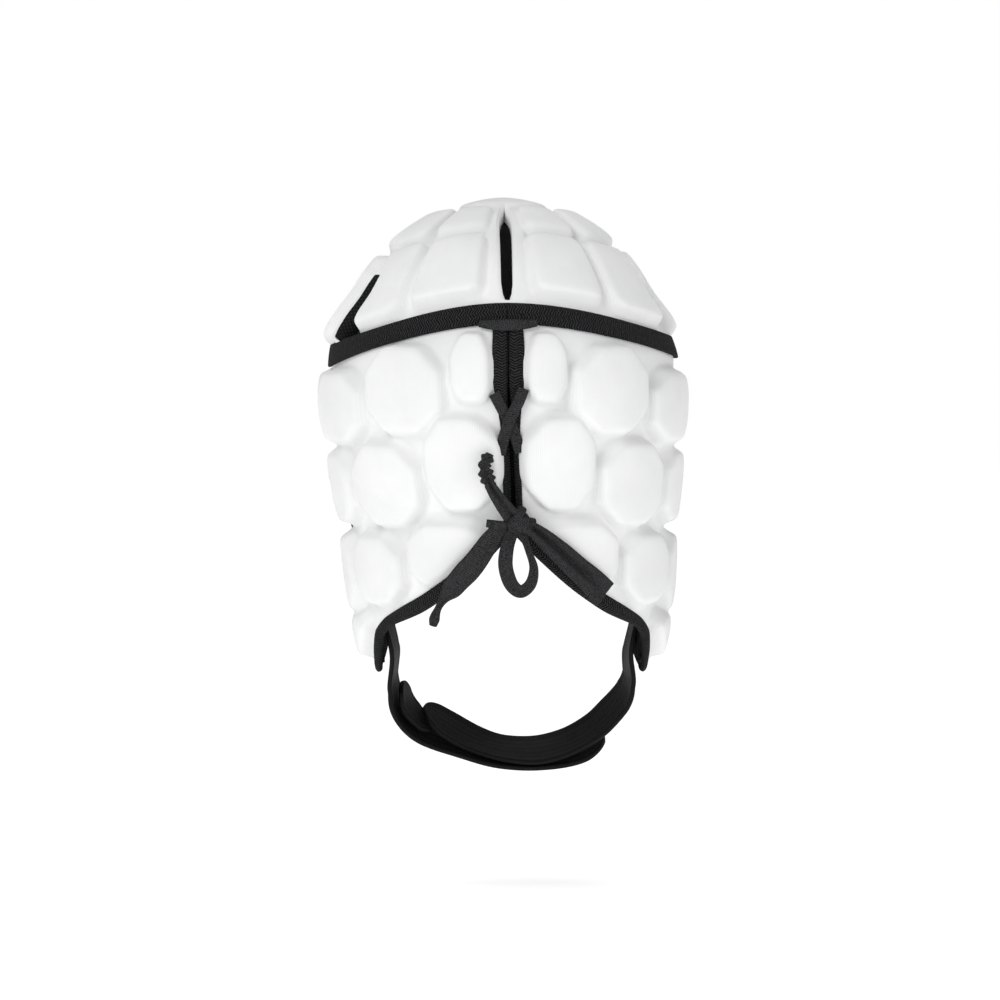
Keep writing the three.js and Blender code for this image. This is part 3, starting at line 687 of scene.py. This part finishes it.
def bump(tree, height, strength, distance, before=None):
    made = node(tree, "ShaderNodeBump", Strength=strength, Distance=distance)
    tree.links.new(height, made.inputs["Height"])
    if before is not None:
        tree.links.new(before, made.inputs["Normal"])
    return made.outputs[0]


SLOTS = {}


# One cloth: its finish, its own coordinates and its place in space
def new_cloth(slot, roughness, specular, sheen=0.0):
    SLOTS[slot], tree, shader = new_material(slot)
    shader.inputs["Roughness"].default_value = roughness
    shader.inputs["Specular IOR Level"].default_value = specular
    shader.inputs["Sheen Weight"].default_value = sheen
    return tree, shader, *cloth_uv(tree), tree.nodes.new("ShaderNodeTexCoord").outputs["Object"]


# The weave's relief over the broad folds, if there are any, and a shade between two colours
def weave(tree, shader, relief, folds, shade, low, high, span):
    before = bump(tree, *folds) if folds else None
    tree.links.new(bump(tree, *relief, before), shader.inputs["Normal"])
    tree.links.new(ramp(tree, shade, low, high, *span), shader.inputs["Base Color"])


# White stretch knit: fine wales and courses, soft lumps and a faint unevenness of shade
def white_knit():
    tree, shader, u, v, place = new_cloth("padded_knit", 0.8, 0.28, sheen=0.25)
    wales = ridges(tree, u, 0.00085)
    courses = ridges(tree, v, 0.0007)
    fibres = noise(tree, place, 2600.0, 2.0)
    height = plus(tree, times(tree, wales, courses), times(tree, fibres, 0.6))
    lumps = noise(tree, place, 90.0, 2.0)
    shade = plus(tree, times(tree, noise(tree, place, 35.0), 0.8), times(tree, wales, 0.2))
    weave(tree, shader, (height, 0.2, 0.00022), (lumps, 0.25, 0.0012), shade,
          (0.8, 0.803, 0.81), (0.9, 0.9, 0.9), (0.2, 0.75))
    tree.links.new(ramp(tree, fibres, (0.72,) * 3, (0.9,) * 3), shader.inputs["Roughness"])
    shader.inputs["Sheen Roughness"].default_value = 0.4


RIB_PITCH = 0.00135
RIB_SLANT = 0.55


# Ribbed elastic: slanted ribs in a herringbone, on charcoal yarn, with painted highlights on the rib
# crests and painted shade between the ribs
def ribbed_elastic():
    tree, shader, u, v, place = new_cloth("binding", 0.85, 0.1)
    skewed = plus(tree, u, times(tree, math_node(tree, "PINGPONG", v, 0.0026), RIB_SLANT))
    wobble = times(tree, noise(tree, place, 320.0), RIB_PITCH * 1.5)
    ribs = ridges(tree, plus(tree, skewed, wobble), RIB_PITCH)
    lines = ridges(tree, v, 0.0013)
    fibres = noise(tree, place, 2200.0, 2.0)
    height = plus(tree, plus(tree, ribs, times(tree, lines, 0.35)), times(tree, fibres, 0.5))
    # The colour follows the ribs: painted highlight on their crests and painted shade in the grooves,
    # plus a random tone from the fibres
    shade = times(tree, plus(tree, ribs, fibres), 0.5)
    weave(tree, shader, (height, 1.0, 0.0007), None, shade, (0.0015, 0.0015, 0.0016),
          (0.05, 0.05, 0.053), (0.3, 0.78))


# Flat knit tape: fine lines along its length, crossed by small stitches
def lace_tape():
    tree, shader, u, v, place = new_cloth("lace", 0.85, 0.1)
    lines = ridges(tree, v, 0.00065)
    stitches = ridges(tree, plus(tree, u, times(tree, v, 0.35)), 0.0011)
    fibres = noise(tree, place, 2000.0, 2.0)
    height = plus(tree, plus(tree, times(tree, lines, 0.5), times(tree, stitches, 0.3)), fibres)
    folds = noise(tree, place, 160.0, 2.0)
    shade = plus(tree, times(tree, stitches, 0.12), times(tree, fibres, 0.88))
    weave(tree, shader, (height, 0.7, 0.0004), (folds, 0.35, 0.0015), shade,
          (0.001, 0.001, 0.0011), (0.06, 0.06, 0.063), (0.3, 0.7))


# Strap webbing: a tight flat weave with a dull shine
def strap_web():
    tree, shader, u, v, place = new_cloth("strap", 0.6, 0.14)
    threads = times(tree, ridges(tree, v, 0.0008), ridges(tree, u, 0.001))
    fibres = noise(tree, place, 1800.0, 2.0)
    creases = noise(tree, place, 70.0, 2.0)
    height = plus(tree, threads, times(tree, fibres, 0.8))
    weave(tree, shader, (height, 0.5, 0.0003), (creases, 0.4, 0.002), fibres,
          (0.0015, 0.0015, 0.0017), (0.006, 0.006, 0.0065), (0.25, 0.8))


# Dark mesh lining: small dimples in a staggered grid
def mesh_lining():
    tree, shader, u, v, place = new_cloth("lining", 0.9, 0.2)
    dimples = times(tree, ridges(tree, plus(tree, u, v), 0.0022),
                    ridges(tree, math_node(tree, "SUBTRACT", u, v), 0.0022))
    height = plus(tree, dimples, times(tree, noise(tree, place, 1500.0, 2.0), 0.3))
    weave(tree, shader, (height, 0.8, 0.0006), None, dimples, (0.006, 0.006, 0.0065),
          (0.03, 0.03, 0.032), (0.1, 0.9))


for make_cloth in (white_knit, ribbed_elastic, lace_tape, strap_web, mesh_lining):
    make_cloth()


def dress(piece, slot, *nodes):
    piece.data.materials.clear()
    piece.data.materials.append(SLOTS[slot])
    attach(piece, "root")
    if nodes:
        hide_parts(*nodes)
    return piece


# Camera and light
CAMERA_LENS = 200.0
SENSOR = 36.0
VIEW_WIDTH = 0.5
VIEW_CENTRE = Vector((-0.0015, 0.0, -0.1395))
VIEW_TILT = math.radians(1.5)
ROOM_LIGHT = 0.3
FLOOR_Z = -330.0
FLOOR_REACH = 9000.0
FLOOR_GLOW = 0.54


def add_camera():
    distance = VIEW_WIDTH * CAMERA_LENS / SENSOR
    data = bpy.data.cameras.new("camera")
    data.lens = CAMERA_LENS
    data.sensor_width = SENSOR
    data.clip_end = 50
    camera = add_object("camera", data)
    camera.location = VIEW_CENTRE + Vector((0, -math.cos(VIEW_TILT), math.sin(VIEW_TILT))) * distance
    camera.rotation_euler = (math.pi / 2 - VIEW_TILT, 0, 0)
    bpy.context.scene.camera = camera


def area_light(name, place, aim, size, power):
    data = bpy.data.lights.new(name, "AREA")
    data.shape = "RECTANGLE"
    data.size, data.size_y = size
    data.energy = power
    light = add_object(name, data)
    light.location = place
    light.rotation_euler = (Vector(aim) - Vector(place)).to_track_quat("-Z", "Y").to_euler()


def add_studio():
    world = bpy.data.worlds.new("studio")
    bpy.context.scene.world = world
    world.use_nodes = True
    tree = world.node_tree
    paper = tree.nodes["Background"]
    paper.inputs[0].default_value = (1, 1, 1, 1)
    paper.inputs[1].default_value = 1.0
    soft = node(tree, "ShaderNodeBackground", Color=(1, 1, 1, 1), Strength=ROOM_LIGHT)
    choice = tree.nodes.new("ShaderNodeMixShader")
    tree.links.new(tree.nodes.new("ShaderNodeLightPath").outputs["Is Camera Ray"], choice.inputs[0])
    tree.links.new(soft.outputs[0], choice.inputs[1])
    tree.links.new(paper.outputs[0], choice.inputs[2])
    tree.links.new(choice.outputs[0], tree.nodes["World Output"].inputs[0])
    area_light("key", (-0.75, -1.5, 0.8), (0, 0, -0.12), (0.9, 0.9), 12)
    area_light("fill", (1.5, -0.9, 0.1), (0, 0, -0.15), (0.8, 1.2), 4.5)
    sky = bpy.data.lights.new("top", "SUN")
    sky.energy = 0.9
    sky.angle = math.radians(60)
    above = add_object("top", sky)
    above.rotation_euler = (math.radians(-12), math.radians(-8), 0)
    bpy.context.scene.view_settings.view_transform = "Standard"
    points = [(x * FLOOR_REACH, y * FLOOR_REACH, FLOOR_Z)
              for x, y in ((-1, -1), (1, -1), (1, 1), (-1, 1))]
    floor = add_mesh("floor", points, [(0, 1, 2, 3)])
    material, tree, shader = new_material("floor")
    shader.inputs["Base Color"].default_value = (0.9, 0.9, 0.9, 1)
    shader.inputs["Roughness"].default_value = 0.9
    shader.inputs["Emission Color"].default_value = (1, 1, 1, 1)
    shader.inputs["Emission Strength"].default_value = FLOOR_GLOW
    floor.data.materials.append(material)


add_camera()
add_studio()

# Lace
LACE_ROUTES = {
    "lace_tail_up": [(3.8, -91.5, -144.6), (-0.4, -96.4, -139), (-5, -99.8, -132), (-7.6, -101.9, -126),
                     (-8.8, -103.4, -120), (-6.4, -104.4, -114.6)],
    "lace_tail_left": [(-1, -90.2, -149.4), (-6.6, -89.8, -157.4), (-14, -85.8, -168),
                       (-22, -80.4, -177), (-29, -74.6, -186), (-32.5, -71.4, -192.5),
                       (-34.2, -69.6, -199)],
    "lace_tail_right": [(12.4, -91.4, -149.8), (19, -89.8, -155), (28, -84.8, -163), (36, -79, -170.5),
                        (43.5, -72.6, -177.5), (49.5, -66.8, -184)],
    "lace_loop": [(4, -89.2, -152.8), (1.6, -92.6, -162), (1.3, -92.4, -170), (4, -92, -178),
                  (8.6, -91.8, -181.4), (13.4, -91.8, -177.6), (14.8, -92, -170), (12.4, -92.4, -162),
                  (9.3, -89.4, -152.9)],
}
KNOT_PLACE = np.array([6.3, -87.4, -147.4])

# Widths and thicknesses of each free stretch, by share of its length. crease is how deep it folds,
# and place is where across its width. ripple and lumps are how uneven it is.
LACE_SHAPES = {
    "lace_tail_up": {"width": [(0, 8.5), (0.2, 7.6), (0.42, 6.4), (0.55, 5.4), (0.62, 6.6), (0.7, 7.4),
                               (0.78, 5.8), (0.84, 5.6), (0.92, 6.4), (1, 4.6)],
                     "thickness": [(0, 2.6), (0.5, 2.2), (0.6, 3.4), (0.7, 5), (0.8, 3.4), (0.92, 4.4),
                                   (1, 2.4)],
                     "crease": 1.6, "place": 0.1, "ripple": 0.2, "lumps": 0.2},
    "lace_tail_left": {"width": [(0, 7), (0.15, 10), (0.45, 12), (0.66, 10.4), (0.75, 5), (0.83, 3.2),
                                 (0.88, 3.6), (0.94, 5.6), (0.98, 5.4), (1, 3)],
                       "thickness": [(0, 3), (0.2, 1.6), (0.7, 1.5), (0.84, 2.6), (0.92, 4), (1, 2.4)],
                       "crease": 0.7, "place": -0.45, "ripple": 0.12, "lumps": 0.0},
    "lace_tail_right": {"width": [(0, 6.5), (0.15, 9), (0.4, 11.2), (0.6, 12), (0.85, 13.8), (1, 15)],
                        "thickness": [(0, 3.2), (0.2, 2), (1, 1.5)], "crease": 3.6, "place": -0.12,
                        "ripple": 0.1, "lumps": 0.0},
    "lace_loop": {"width": [(0, 7), (0.07, 6.4), (0.2, 7.2), (0.38, 7.2), (0.5, 6.4), (0.62, 5.6),
                            (0.8, 3.4), (0.93, 3.4), (1, 5.2)],
                  "thickness": [(0, 2), (1, 1.8)], "crease": 0.2, "place": 0.0, "ripple": 0.1,
                  "lumps": 0.0},
}
CREASE_WIDTH = 0.24
LUMP_TURNS = 62


def by_share(table, shares):
    table = np.array(table, float)
    values = np.interp(shares, table[:, 0], table[:, 1])
    return np.convolve(np.pad(values, 4, mode="edge"), np.ones(9) / 9, mode="valid")


def outward_frame(centres, along):
    outs = np.stack([centres[:, 0] * 0.6, centres[:, 1], 0 * centres[:, 0]], axis=-1)
    outs = unit(outs)
    outs = unit(outs - along * (outs * along).sum(axis=1, keepdims=True))
    return unit(np.cross(along, outs)), outs


def lace_piece(name, route, shape, samples=120):
    centres = smooth_path(route, samples)
    along = tangents(centres)
    aways, outs = outward_frame(centres, along)
    shares = np.linspace(0, 1, samples)
    widths = by_share(shape["width"], shares)
    depths = by_share(shape["thickness"], shares)
    lumps = 1 + shape["lumps"] * np.sin(LUMP_TURNS * shares) * smoothstep(shares, 0.5, 0.62)
    widths, depths = widths * lumps, depths * (2 - lumps)
    sections = []
    for share, width, depth in zip(shares, widths, depths):
        outline = flat_section(width, depth, 6)
        across = outline[:, 0] / (width / 2)
        fold = shape["crease"] * np.exp(-((across - shape["place"]) / CREASE_WIDTH) ** 2)
        outline[:, 1] -= fold * min(1, (1 - share) * 3 + 0.12)
        outline[:, 1] += shape["ripple"] * np.sin(7 * across + 9 * share)
        sections.append(outline)
    return sweep(name, centres, aways, outs, np.array(sections))


def add_free_lace():
    for name, route in LACE_ROUTES.items():
        piece = dress(lace_piece(name + "_tape", route, LACE_SHAPES[name]), "lace", name)


def join(name, pieces):
    with bpy.context.temp_override(active_object=pieces[0], selected_editable_objects=pieces):
        bpy.ops.object.join()
    pieces[0].name = name
    pieces[0].data.name = name
    return pieces[0]


add_free_lace()


TURNED_EDGE = {"end": 0.12, "rise": -0.9, "shift": 0.6, "wall": 0.6}


# A line on the cap: its points, the way across it and the way out
def cap_line(angle, level, closed=False):
    centres = cap_point(angle, level)
    outs = cap_normal(angle, level)
    return centres, unit(np.cross(tangents(centres, closed), outs)), outs


# The crown lining's edge is turned up inside the left side slit, so the open slit is dark
def turned_lining():
    slit = SLITS[-1]
    level = np.linspace(slit["top"] + TURNED_EDGE["end"], slit["foot"] - TURNED_EDGE["end"], 70)
    radius = slit["depth"] * section(level, slit["column"])
    half = slit_half(level, slit["top"], slit["foot"], slit["width"], radius)
    rise = slit["gape"] * smoothstep(half * radius, 0, GAPE_FULL) + TURNED_EDGE["rise"]
    angle = slit["angle"] - half + np.degrees(TURNED_EDGE["shift"] / radius)
    centres, aways, outs = cap_line(angle, level)
    thin = TURNED_EDGE["wall"] / 2
    low = -PANEL_WALL - LINING_WALL
    profiles = [[(-thin, low), (thin, low), (thin, high), (-thin, high)] for high in rise]
    return sweep("turned_lining", centres, aways, outs, np.array(profiles))


UNDERLAP = {"width": 13.0, "shift": 0.8, "stand": -7.0, "foot_lift": 3.0}


# The right lining's edge reaches under the left one, so the back slit is dark
def slit_underlap():
    foot = float(edge_depth(BACK_EDGE_ANGLE)) - UNDERLAP["foot_lift"]
    level = level_at(np.linspace(PANEL_TOP, foot, 120))
    radius = half_at(level)
    angle = np.degrees(UNDERLAP["shift"] / radius)
    centres = standing(angle, level, UNDERLAP["stand"] + 0 * level)
    outs = cap_normal(angle, level)
    aways = unit(np.cross(tangents(centres), outs))
    return sweep("slit_underlap", centres, aways, outs, flat_section(UNDERLAP["width"], 0.8, 4))


# Panels
def add_panels():
    crown = crown_wall("crown_cover", CROWN_COLUMNS, CROWN_ROWS, 0.0, PANEL_WALL, CROWN_PADS, 1.3)
    dress(crown, "padded_knit", "crown_panel")
    inside = -PANEL_WALL - PIECE_GAP
    lining = crown_wall("crown_inside", *CROWN_LINING_GRID, inside, LINING_WALL, None, 0.6)
    lining = join("crown_inside", [lining, turned_lining()])
    dress(lining, "lining", "crown_lining")
    for hand, side in SIDES:
        panel = side_wall(f"side_cover_{hand}", side, SIDE_COLUMNS, SIDE_ROWS, 0.0, PANEL_WALL,
                          SIDE_PADS, EAR_MARGIN)
        dress(panel, "padded_knit", f"side_panel_{hand}")
        lining = side_wall(f"side_inside_{hand}", side, *SIDE_LINING_GRID, inside, LINING_WALL,
                           None, EAR_MARGIN)
        if side > 0:
            lining = join(f"side_inside_{hand}", [lining, slit_underlap()])
        dress(lining, "lining", f"side_lining_{hand}")


add_panels()


# A closed outline through a few points, as (away, out) pairs
def round_outline(points, samples):
    points = np.asarray(points, float)
    ring = np.concatenate([points[-1:], points, points[:2]])
    places = np.linspace(0, len(points), samples, endpoint=False)
    rows = np.floor(places).astype(int)
    share = (places - rows)[:, None]
    return curve(*(ring[rows + k] for k in range(4)), share)


# The folded binding's section: away is 0 where the white cover ends and grows outwards
def roll_section(width, lip, samples=34):
    back = CLOTH_WALL
    return round_outline([
        (-lip, 0.35), (-lip, 0.95), (-lip + 0.6, 1.35), (width * 0.45, 1.6), (width - 1.2, 1.2),
        (width - 0.2, 0), (width, -back * 0.4), (width - 0.5, -back * 0.85), (width - 1.6, -back - 0.5),
        (0.4, -back - 0.8), (-lip, -back - 0.6), (-lip, -back - 0.25), (-0.2, -back - 0.15),
        (0.2, -back + 0.4), (0.2, -0.2), (-0.2, 0.25)], samples)


def binding_path(side, angles):
    level = level_at(edge_depth(angles))
    centres = cap_point(side * angles, level)
    outs = cap_normal(side * angles, level)
    along = unit(cap_point(side * (angles + 0.5), level_at(edge_depth(angles + 0.5)))
                 - cap_point(side * (angles - 0.5), level_at(edge_depth(angles - 0.5))))
    return centres, unit(np.cross(along, outs)) * side, outs


EAR_ROLL = 3.4
BINDING_LIP = 1.1
# The binding is narrower and thinner round the flap's tip
FLAP_BINDING_CUT = 2.2
FLAP_BINDING_THIN = 0.45


def add_edge_bindings():
    for hand, side in SIDES:
        for name, start, end, count in (("nape", BACK_EDGE_ANGLE, FLAP_MIDDLE, 260),
                                        ("face", FLAP_MIDDLE, TEMPLE_ANGLE, 220)):
            angles = np.linspace(start, end, count)
            centres, aways, outs = binding_path(side, angles)
            narrow = FLAP_BINDING_CUT * smoothstep(angles, 40, 62) * (1 - smoothstep(angles, 96, 108))
            profiles = np.array([roll_section(EDGE_BINDING_WIDTH + 0.6 - cut, BINDING_LIP)
                                 for cut in narrow])
            profiles[..., 1] *= 1 - FLAP_BINDING_THIN * narrow[:, None] / FLAP_BINDING_CUT
            piece = sweep(f"{name}_trim_{hand}", centres, aways, outs, profiles)
            dress(piece, "binding", f"{name}_binding_{hand}")
        ear_ring(hand, side)


def ear_ring(hand, side):
    around = np.linspace(0, 2 * math.pi, 120, endpoint=False)

    def outline(margin):
        depth = EAR_DROP + (EAR_HEIGHT / 2 + margin) * np.sin(around)
        level = level_at(depth)
        reach = FRONT_DEPTH * section(level, "front")
        angle = EAR_ANGLE + np.degrees((EAR_WIDTH / 2 + margin) * np.cos(around) / reach)
        return side * angle, level
    angle, level = outline(EAR_ROLL)
    centres = cap_point(angle, level)
    outs = cap_normal(angle, level)
    aways = unit(cap_point(*outline(0)) - centres)
    piece = sweep(f"ear_trim_{hand}", centres, aways, outs, roll_section(EAR_ROLL, BINDING_LIP),
                  closed=True)
    dress(piece, "binding", f"ear_binding_{hand}")


BACK_GAP_TOP = 0.4
BACK_GAP_FOOT = {-1: 0.1, 1: 2.0}
BINDING_LIFT = 1.5


def add_back_bindings():
    foot = float(edge_depth(BACK_EDGE_ANGLE)) - BINDING_LIFT
    depth = PANEL_TOP + np.linspace(0, 1, 200) * (foot - PANEL_TOP)
    level = level_at(depth)
    radius = half_at(level)
    drawn = smoothstep(depth, DRAWN_EDGE["top"], DRAWN_EDGE["foot"])
    for hand, side in SIDES:
        outer = back_edge_span(side, depth) - 0.1
        inner = BACK_GAP_TOP / 2 + (BACK_GAP_FOOT[side] - BACK_GAP_TOP / 2) * drawn
        angle = side * np.degrees(outer / radius)
        centres, aways, outs = cap_line(angle, level)
        aways *= np.sign(-side * aways[:, :1])
        profiles = np.array([roll_section(width, 1.0) for width in outer - inner])
        piece = sweep(f"back_trim_{hand}", centres, aways, outs, profiles)
        dress(piece, "binding", f"back_binding_{hand}")


def add_band():
    angles = np.linspace(0, 360, 720, endpoint=False)
    centres, aways, outs = cap_line(angles, level_at(band_depth(angles)), closed=True)
    outer = flat_section(BAND_HEIGHT + 1, 1.5, 6, bow=0.25) + np.array([0, 1.15])
    inner = flat_section(BAND_HEIGHT, 0.9, 4) + np.array([0, -CLOTH_WALL - 0.75])
    pieces = [sweep("crown_tape", centres, aways, outs, outer, closed=True),
              sweep("crown_tape_inside", centres, aways, outs, inner, closed=True)]
    dress(join("crown_tape", pieces), "binding", "crown_band")


add_band()
add_back_bindings()
add_edge_bindings()

# The lace on the back: the bar under the band and the cross, as x, drop and stand over the groove
CROSS_OVER = [(6.9, 87.6, 4.7), (4.5, 94, 3.9), (0, 103, 3.9), (-3, 112, 3.9), (-4.6, 119, 2.3)]
CROSS_UNDER = [(-6.8, 90, 2.3), (-3.6, 96.5, 2.3), (0.4, 104, 2.3), (3.2, 112, 2.3), (5, 118, 2.3)]
CROSS_BAR = [(-13.5, 57.6, 2.9), (-7, 58.2, 3.3), (0, 58.4, 3.7), (7, 58, 3.3), (13.5, 57.2, 2.9)]
LACE_WIDTH = 5.6
LACE_THICKNESS = 1.2


def back_points(rows):
    rows = np.array(rows, float)
    level = level_at(rows[:, 1])
    angle = np.degrees(np.arcsin(rows[:, 0] / half_at(level)))
    return standing(angle, level, rows[:, 2])


def add_crossed_lace():
    for name, rows, swell in (("lace_bar", CROSS_BAR, 0.55), ("lace_cross_over", CROSS_OVER, 0),
                              ("lace_cross_under", CROSS_UNDER, 0)):
        centres = smooth_path(back_points(rows), 80)
        aways, outs = outward_frame(centres, tangents(centres))
        shares = np.linspace(0, 1, len(centres))
        widths = LACE_WIDTH * (1 - swell + swell * np.sin(math.pi * (0.08 + 0.84 * shares)))
        sections = [flat_section(width, LACE_THICKNESS, 6, bow=0.3) for width in widths]
        dress(sweep(name + "_tape", centres, aways, outs, np.array(sections)), "lace", name)


# The knot: a lump of lace with bands wrapped round it, and one short stub. Each wrap has its turn,
# half length, half depth, width, shift across and shift along.
KNOT_WRAPS = [
    (-24, 6.6, 5.2, 5.4, 0.4, 1.6), (-8, 6.2, 4.6, 4.6, -1.6, 2.2), (62, 5.2, 4.8, 4.6, -1.5, 3.2),
]
KNOT_CORE = (7.0, 4.6, 6.2)
KNOT_SHIFT = 0.8
KNOT_SINK = 1.4


def ellipsoid(name, centre, halves, rows=24, columns=36):
    down = np.linspace(0.04, math.pi - 0.04, rows)[:, None]
    around = np.linspace(0, 2 * math.pi, columns, endpoint=False)[None, :]
    lumps = 1 + 0.05 * np.sin(3 * around + 5 * down) + 0.04 * np.sin(5 * around - 3 * down)
    points = np.stack([np.sin(down) * np.cos(around) * lumps * halves[0] + centre[0],
                       np.sin(down) * np.sin(around) * lumps * halves[1] + centre[1],
                       np.cos(down) * lumps * halves[2] + centre[2]], axis=-1).reshape(-1, 3)
    faces = grid_faces(rows, columns, closed=True).tolist()
    faces += [list(range(columns)), list(range((rows - 1) * columns, rows * columns))[::-1]]
    uvs = np.stack(np.broadcast_arrays(around * halves[0] * MM, down * halves[2] * MM), axis=-1)
    piece = add_mesh(name, points, faces, uvs.reshape(-1, 2))
    turn_outwards(piece)
    return piece


def add_knot():
    centre = KNOT_PLACE + np.array([KNOT_SHIFT, 0, -KNOT_SINK])
    pieces = [ellipsoid("lace_bow", centre, KNOT_CORE)]
    out = np.array([0, -1.0, 0])
    around = np.linspace(0, 2 * math.pi, 72, endpoint=False)[:, None]
    for turn, half_length, half_depth, width, across, lead in KNOT_WRAPS:
        first = np.array([math.cos(math.radians(turn)), 0, math.sin(math.radians(turn))])
        second = np.cross(first, out)
        middle = centre + second * across + first * (lead - KNOT_SHIFT)
        centres = middle + first * np.cos(around) * half_length + out * np.sin(around) * half_depth
        outs = unit(first * np.cos(around) / half_length + out * np.sin(around) / half_depth)
        aways = np.broadcast_to(second, centres.shape)
        pieces.append(sweep("lace_wrap", centres, aways, outs,
                            flat_section(width, 1.3, 6, bow=0.6), closed=True))
    stub = smooth_path([centre + np.array([-5.4, -3.2, -0.6]), centre + np.array([-9.5, -3.6, -0.2]),
                        centre + np.array([-15.2, -3.4, 0.4])], 30)
    aways, outs = outward_frame(stub, tangents(stub))
    pieces.append(sweep("lace_stub", stub, aways, outs, flat_section(4.0, 2.0, 6, bow=0.3)))
    dress(join("lace_bow", pieces), "lace", "lace_knot")


add_crossed_lace()
add_knot()


# Chin strap: points of each layer's middle line and the turn of its face, in degrees
OUTER_STRAP = [(-55, 4, -231, 9), (-52.5, 9, -242.5, 17), (-45, 14, -252.5, 21),
               (-34, 19, -259.3, 24), (-18, 23, -264.6, 25), (0, 26, -268.6, 26), (18, 27, -270, 26),
               (36, 25, -267.2, 25), (51, 21, -260, 22)]
INNER_STRAP = [(63.1, 3.5, -229, -9), (60.3, 7.5, -238, -22), (52, 13.5, -248, -28),
               (42.5, 18, -256, -27), (30, 22.5, -263, -26), (16, 25.5, -266.6, -26),
               (0, 25.5, -265.5, -26), (-14, 24, -260.8, -26), (-28, 20.5, -253.3, -24),
               (-40, 16, -245.5, -20)]
TAB = [(-50.8, 4.3, -232, 8), (-48, 9, -241.4, 17), (-42.4, 13.5, -248.7, 21), (-36, 17, -253.4, 24)]
STRAP_WIDTH = 26.0
TAB_WIDTH = 22.0
STRAP_THICKNESS = 1.8
STRAP_HEM = 3.0
# A hem that is a little thicker, a slightly uneven width and a slight curl along the strap
STRAP_HEM_RISE = 0.28
STRAP_WAVE = {"width": 0.025, "length": 7.0, "curl": 0.35, "curl_length": 9.0, "curl_turn": 2.4}
STRAP_TUCK = 15.0
STRAP_TUCK_GAP = 5.0
STRAP_SEAT = 4.0
STRAP_TILT = 6.0


def tucked_end(side):
    stand = -CLOTH_WALL - STRAP_TUCK_GAP - STRAP_THICKNESS / 2
    low = float(edge_depth(FLAP_MIDDLE)) - STRAP_SEAT
    places = [standing(side * FLAP_MIDDLE, level_at(depth), stand)
              for depth in (low - STRAP_TUCK, low)]
    return [(*place, -side * STRAP_TILT) for place in places]


# One layer of the strap. roundness is the round end's length, and lead the other end's.
def strap_layer(name, route, width, roundness, lead, samples):
    path = smooth_path(route, samples)
    centres = path[:, :3]
    along = tangents(centres)
    tilt = np.radians(path[:, 3:4])
    level = unit(np.array([0, 1.0, 0]) - along * along[:, 1:2])
    across = level * np.cos(tilt) + np.cross(along, level) * np.sin(tilt)
    outs = unit(np.cross(along, across))
    spans = np.concatenate([[0], np.cumsum(np.linalg.norm(np.diff(centres, axis=0), axis=1))])
    left = np.clip(1 - np.minimum((spans[-1] - spans) / roundness, spans / lead + 0.015), 0, 0.985)
    wave = 1 + STRAP_WAVE["width"] * np.sin(spans / STRAP_WAVE["length"])
    widths = width * np.sqrt(1 - left ** 2) ** 0.8 * wave
    sections = []
    for size, span in zip(widths, spans):
        outline = flat_section(size, STRAP_THICKNESS, 6)
        edge = np.abs(outline[:, 0]) - (size / 2 - STRAP_HEM)
        outline[:, 1] += STRAP_HEM_RISE * np.sign(outline[:, 1]) * smoothstep(edge, -0.6, 0.3)
        turn = span / STRAP_WAVE["curl_length"] + outline[:, 0] / size * STRAP_WAVE["curl_turn"]
        outline[:, 1] += STRAP_WAVE["curl"] * np.sin(turn)
        sections.append(outline)
    return sweep(name, centres, across, outs, np.array(sections))


def add_straps():
    for name, node_name, route, width, roundness, lead, samples in (
            ("outer_strap", "chin_strap_left", tucked_end(-1) + OUTER_STRAP, STRAP_WIDTH, 11.0, 0.1, 420),
            ("inner_strap", "chin_strap_right", tucked_end(1) + INNER_STRAP, STRAP_WIDTH, 12.0, 0.1, 420),
            ("short_layer", "closure_tab", TAB, TAB_WIDTH, 9.0, 14.0, 120)):
        piece = strap_layer(name, route, width, roundness, lead, samples)
        dress(piece, "strap", node_name)


add_straps()
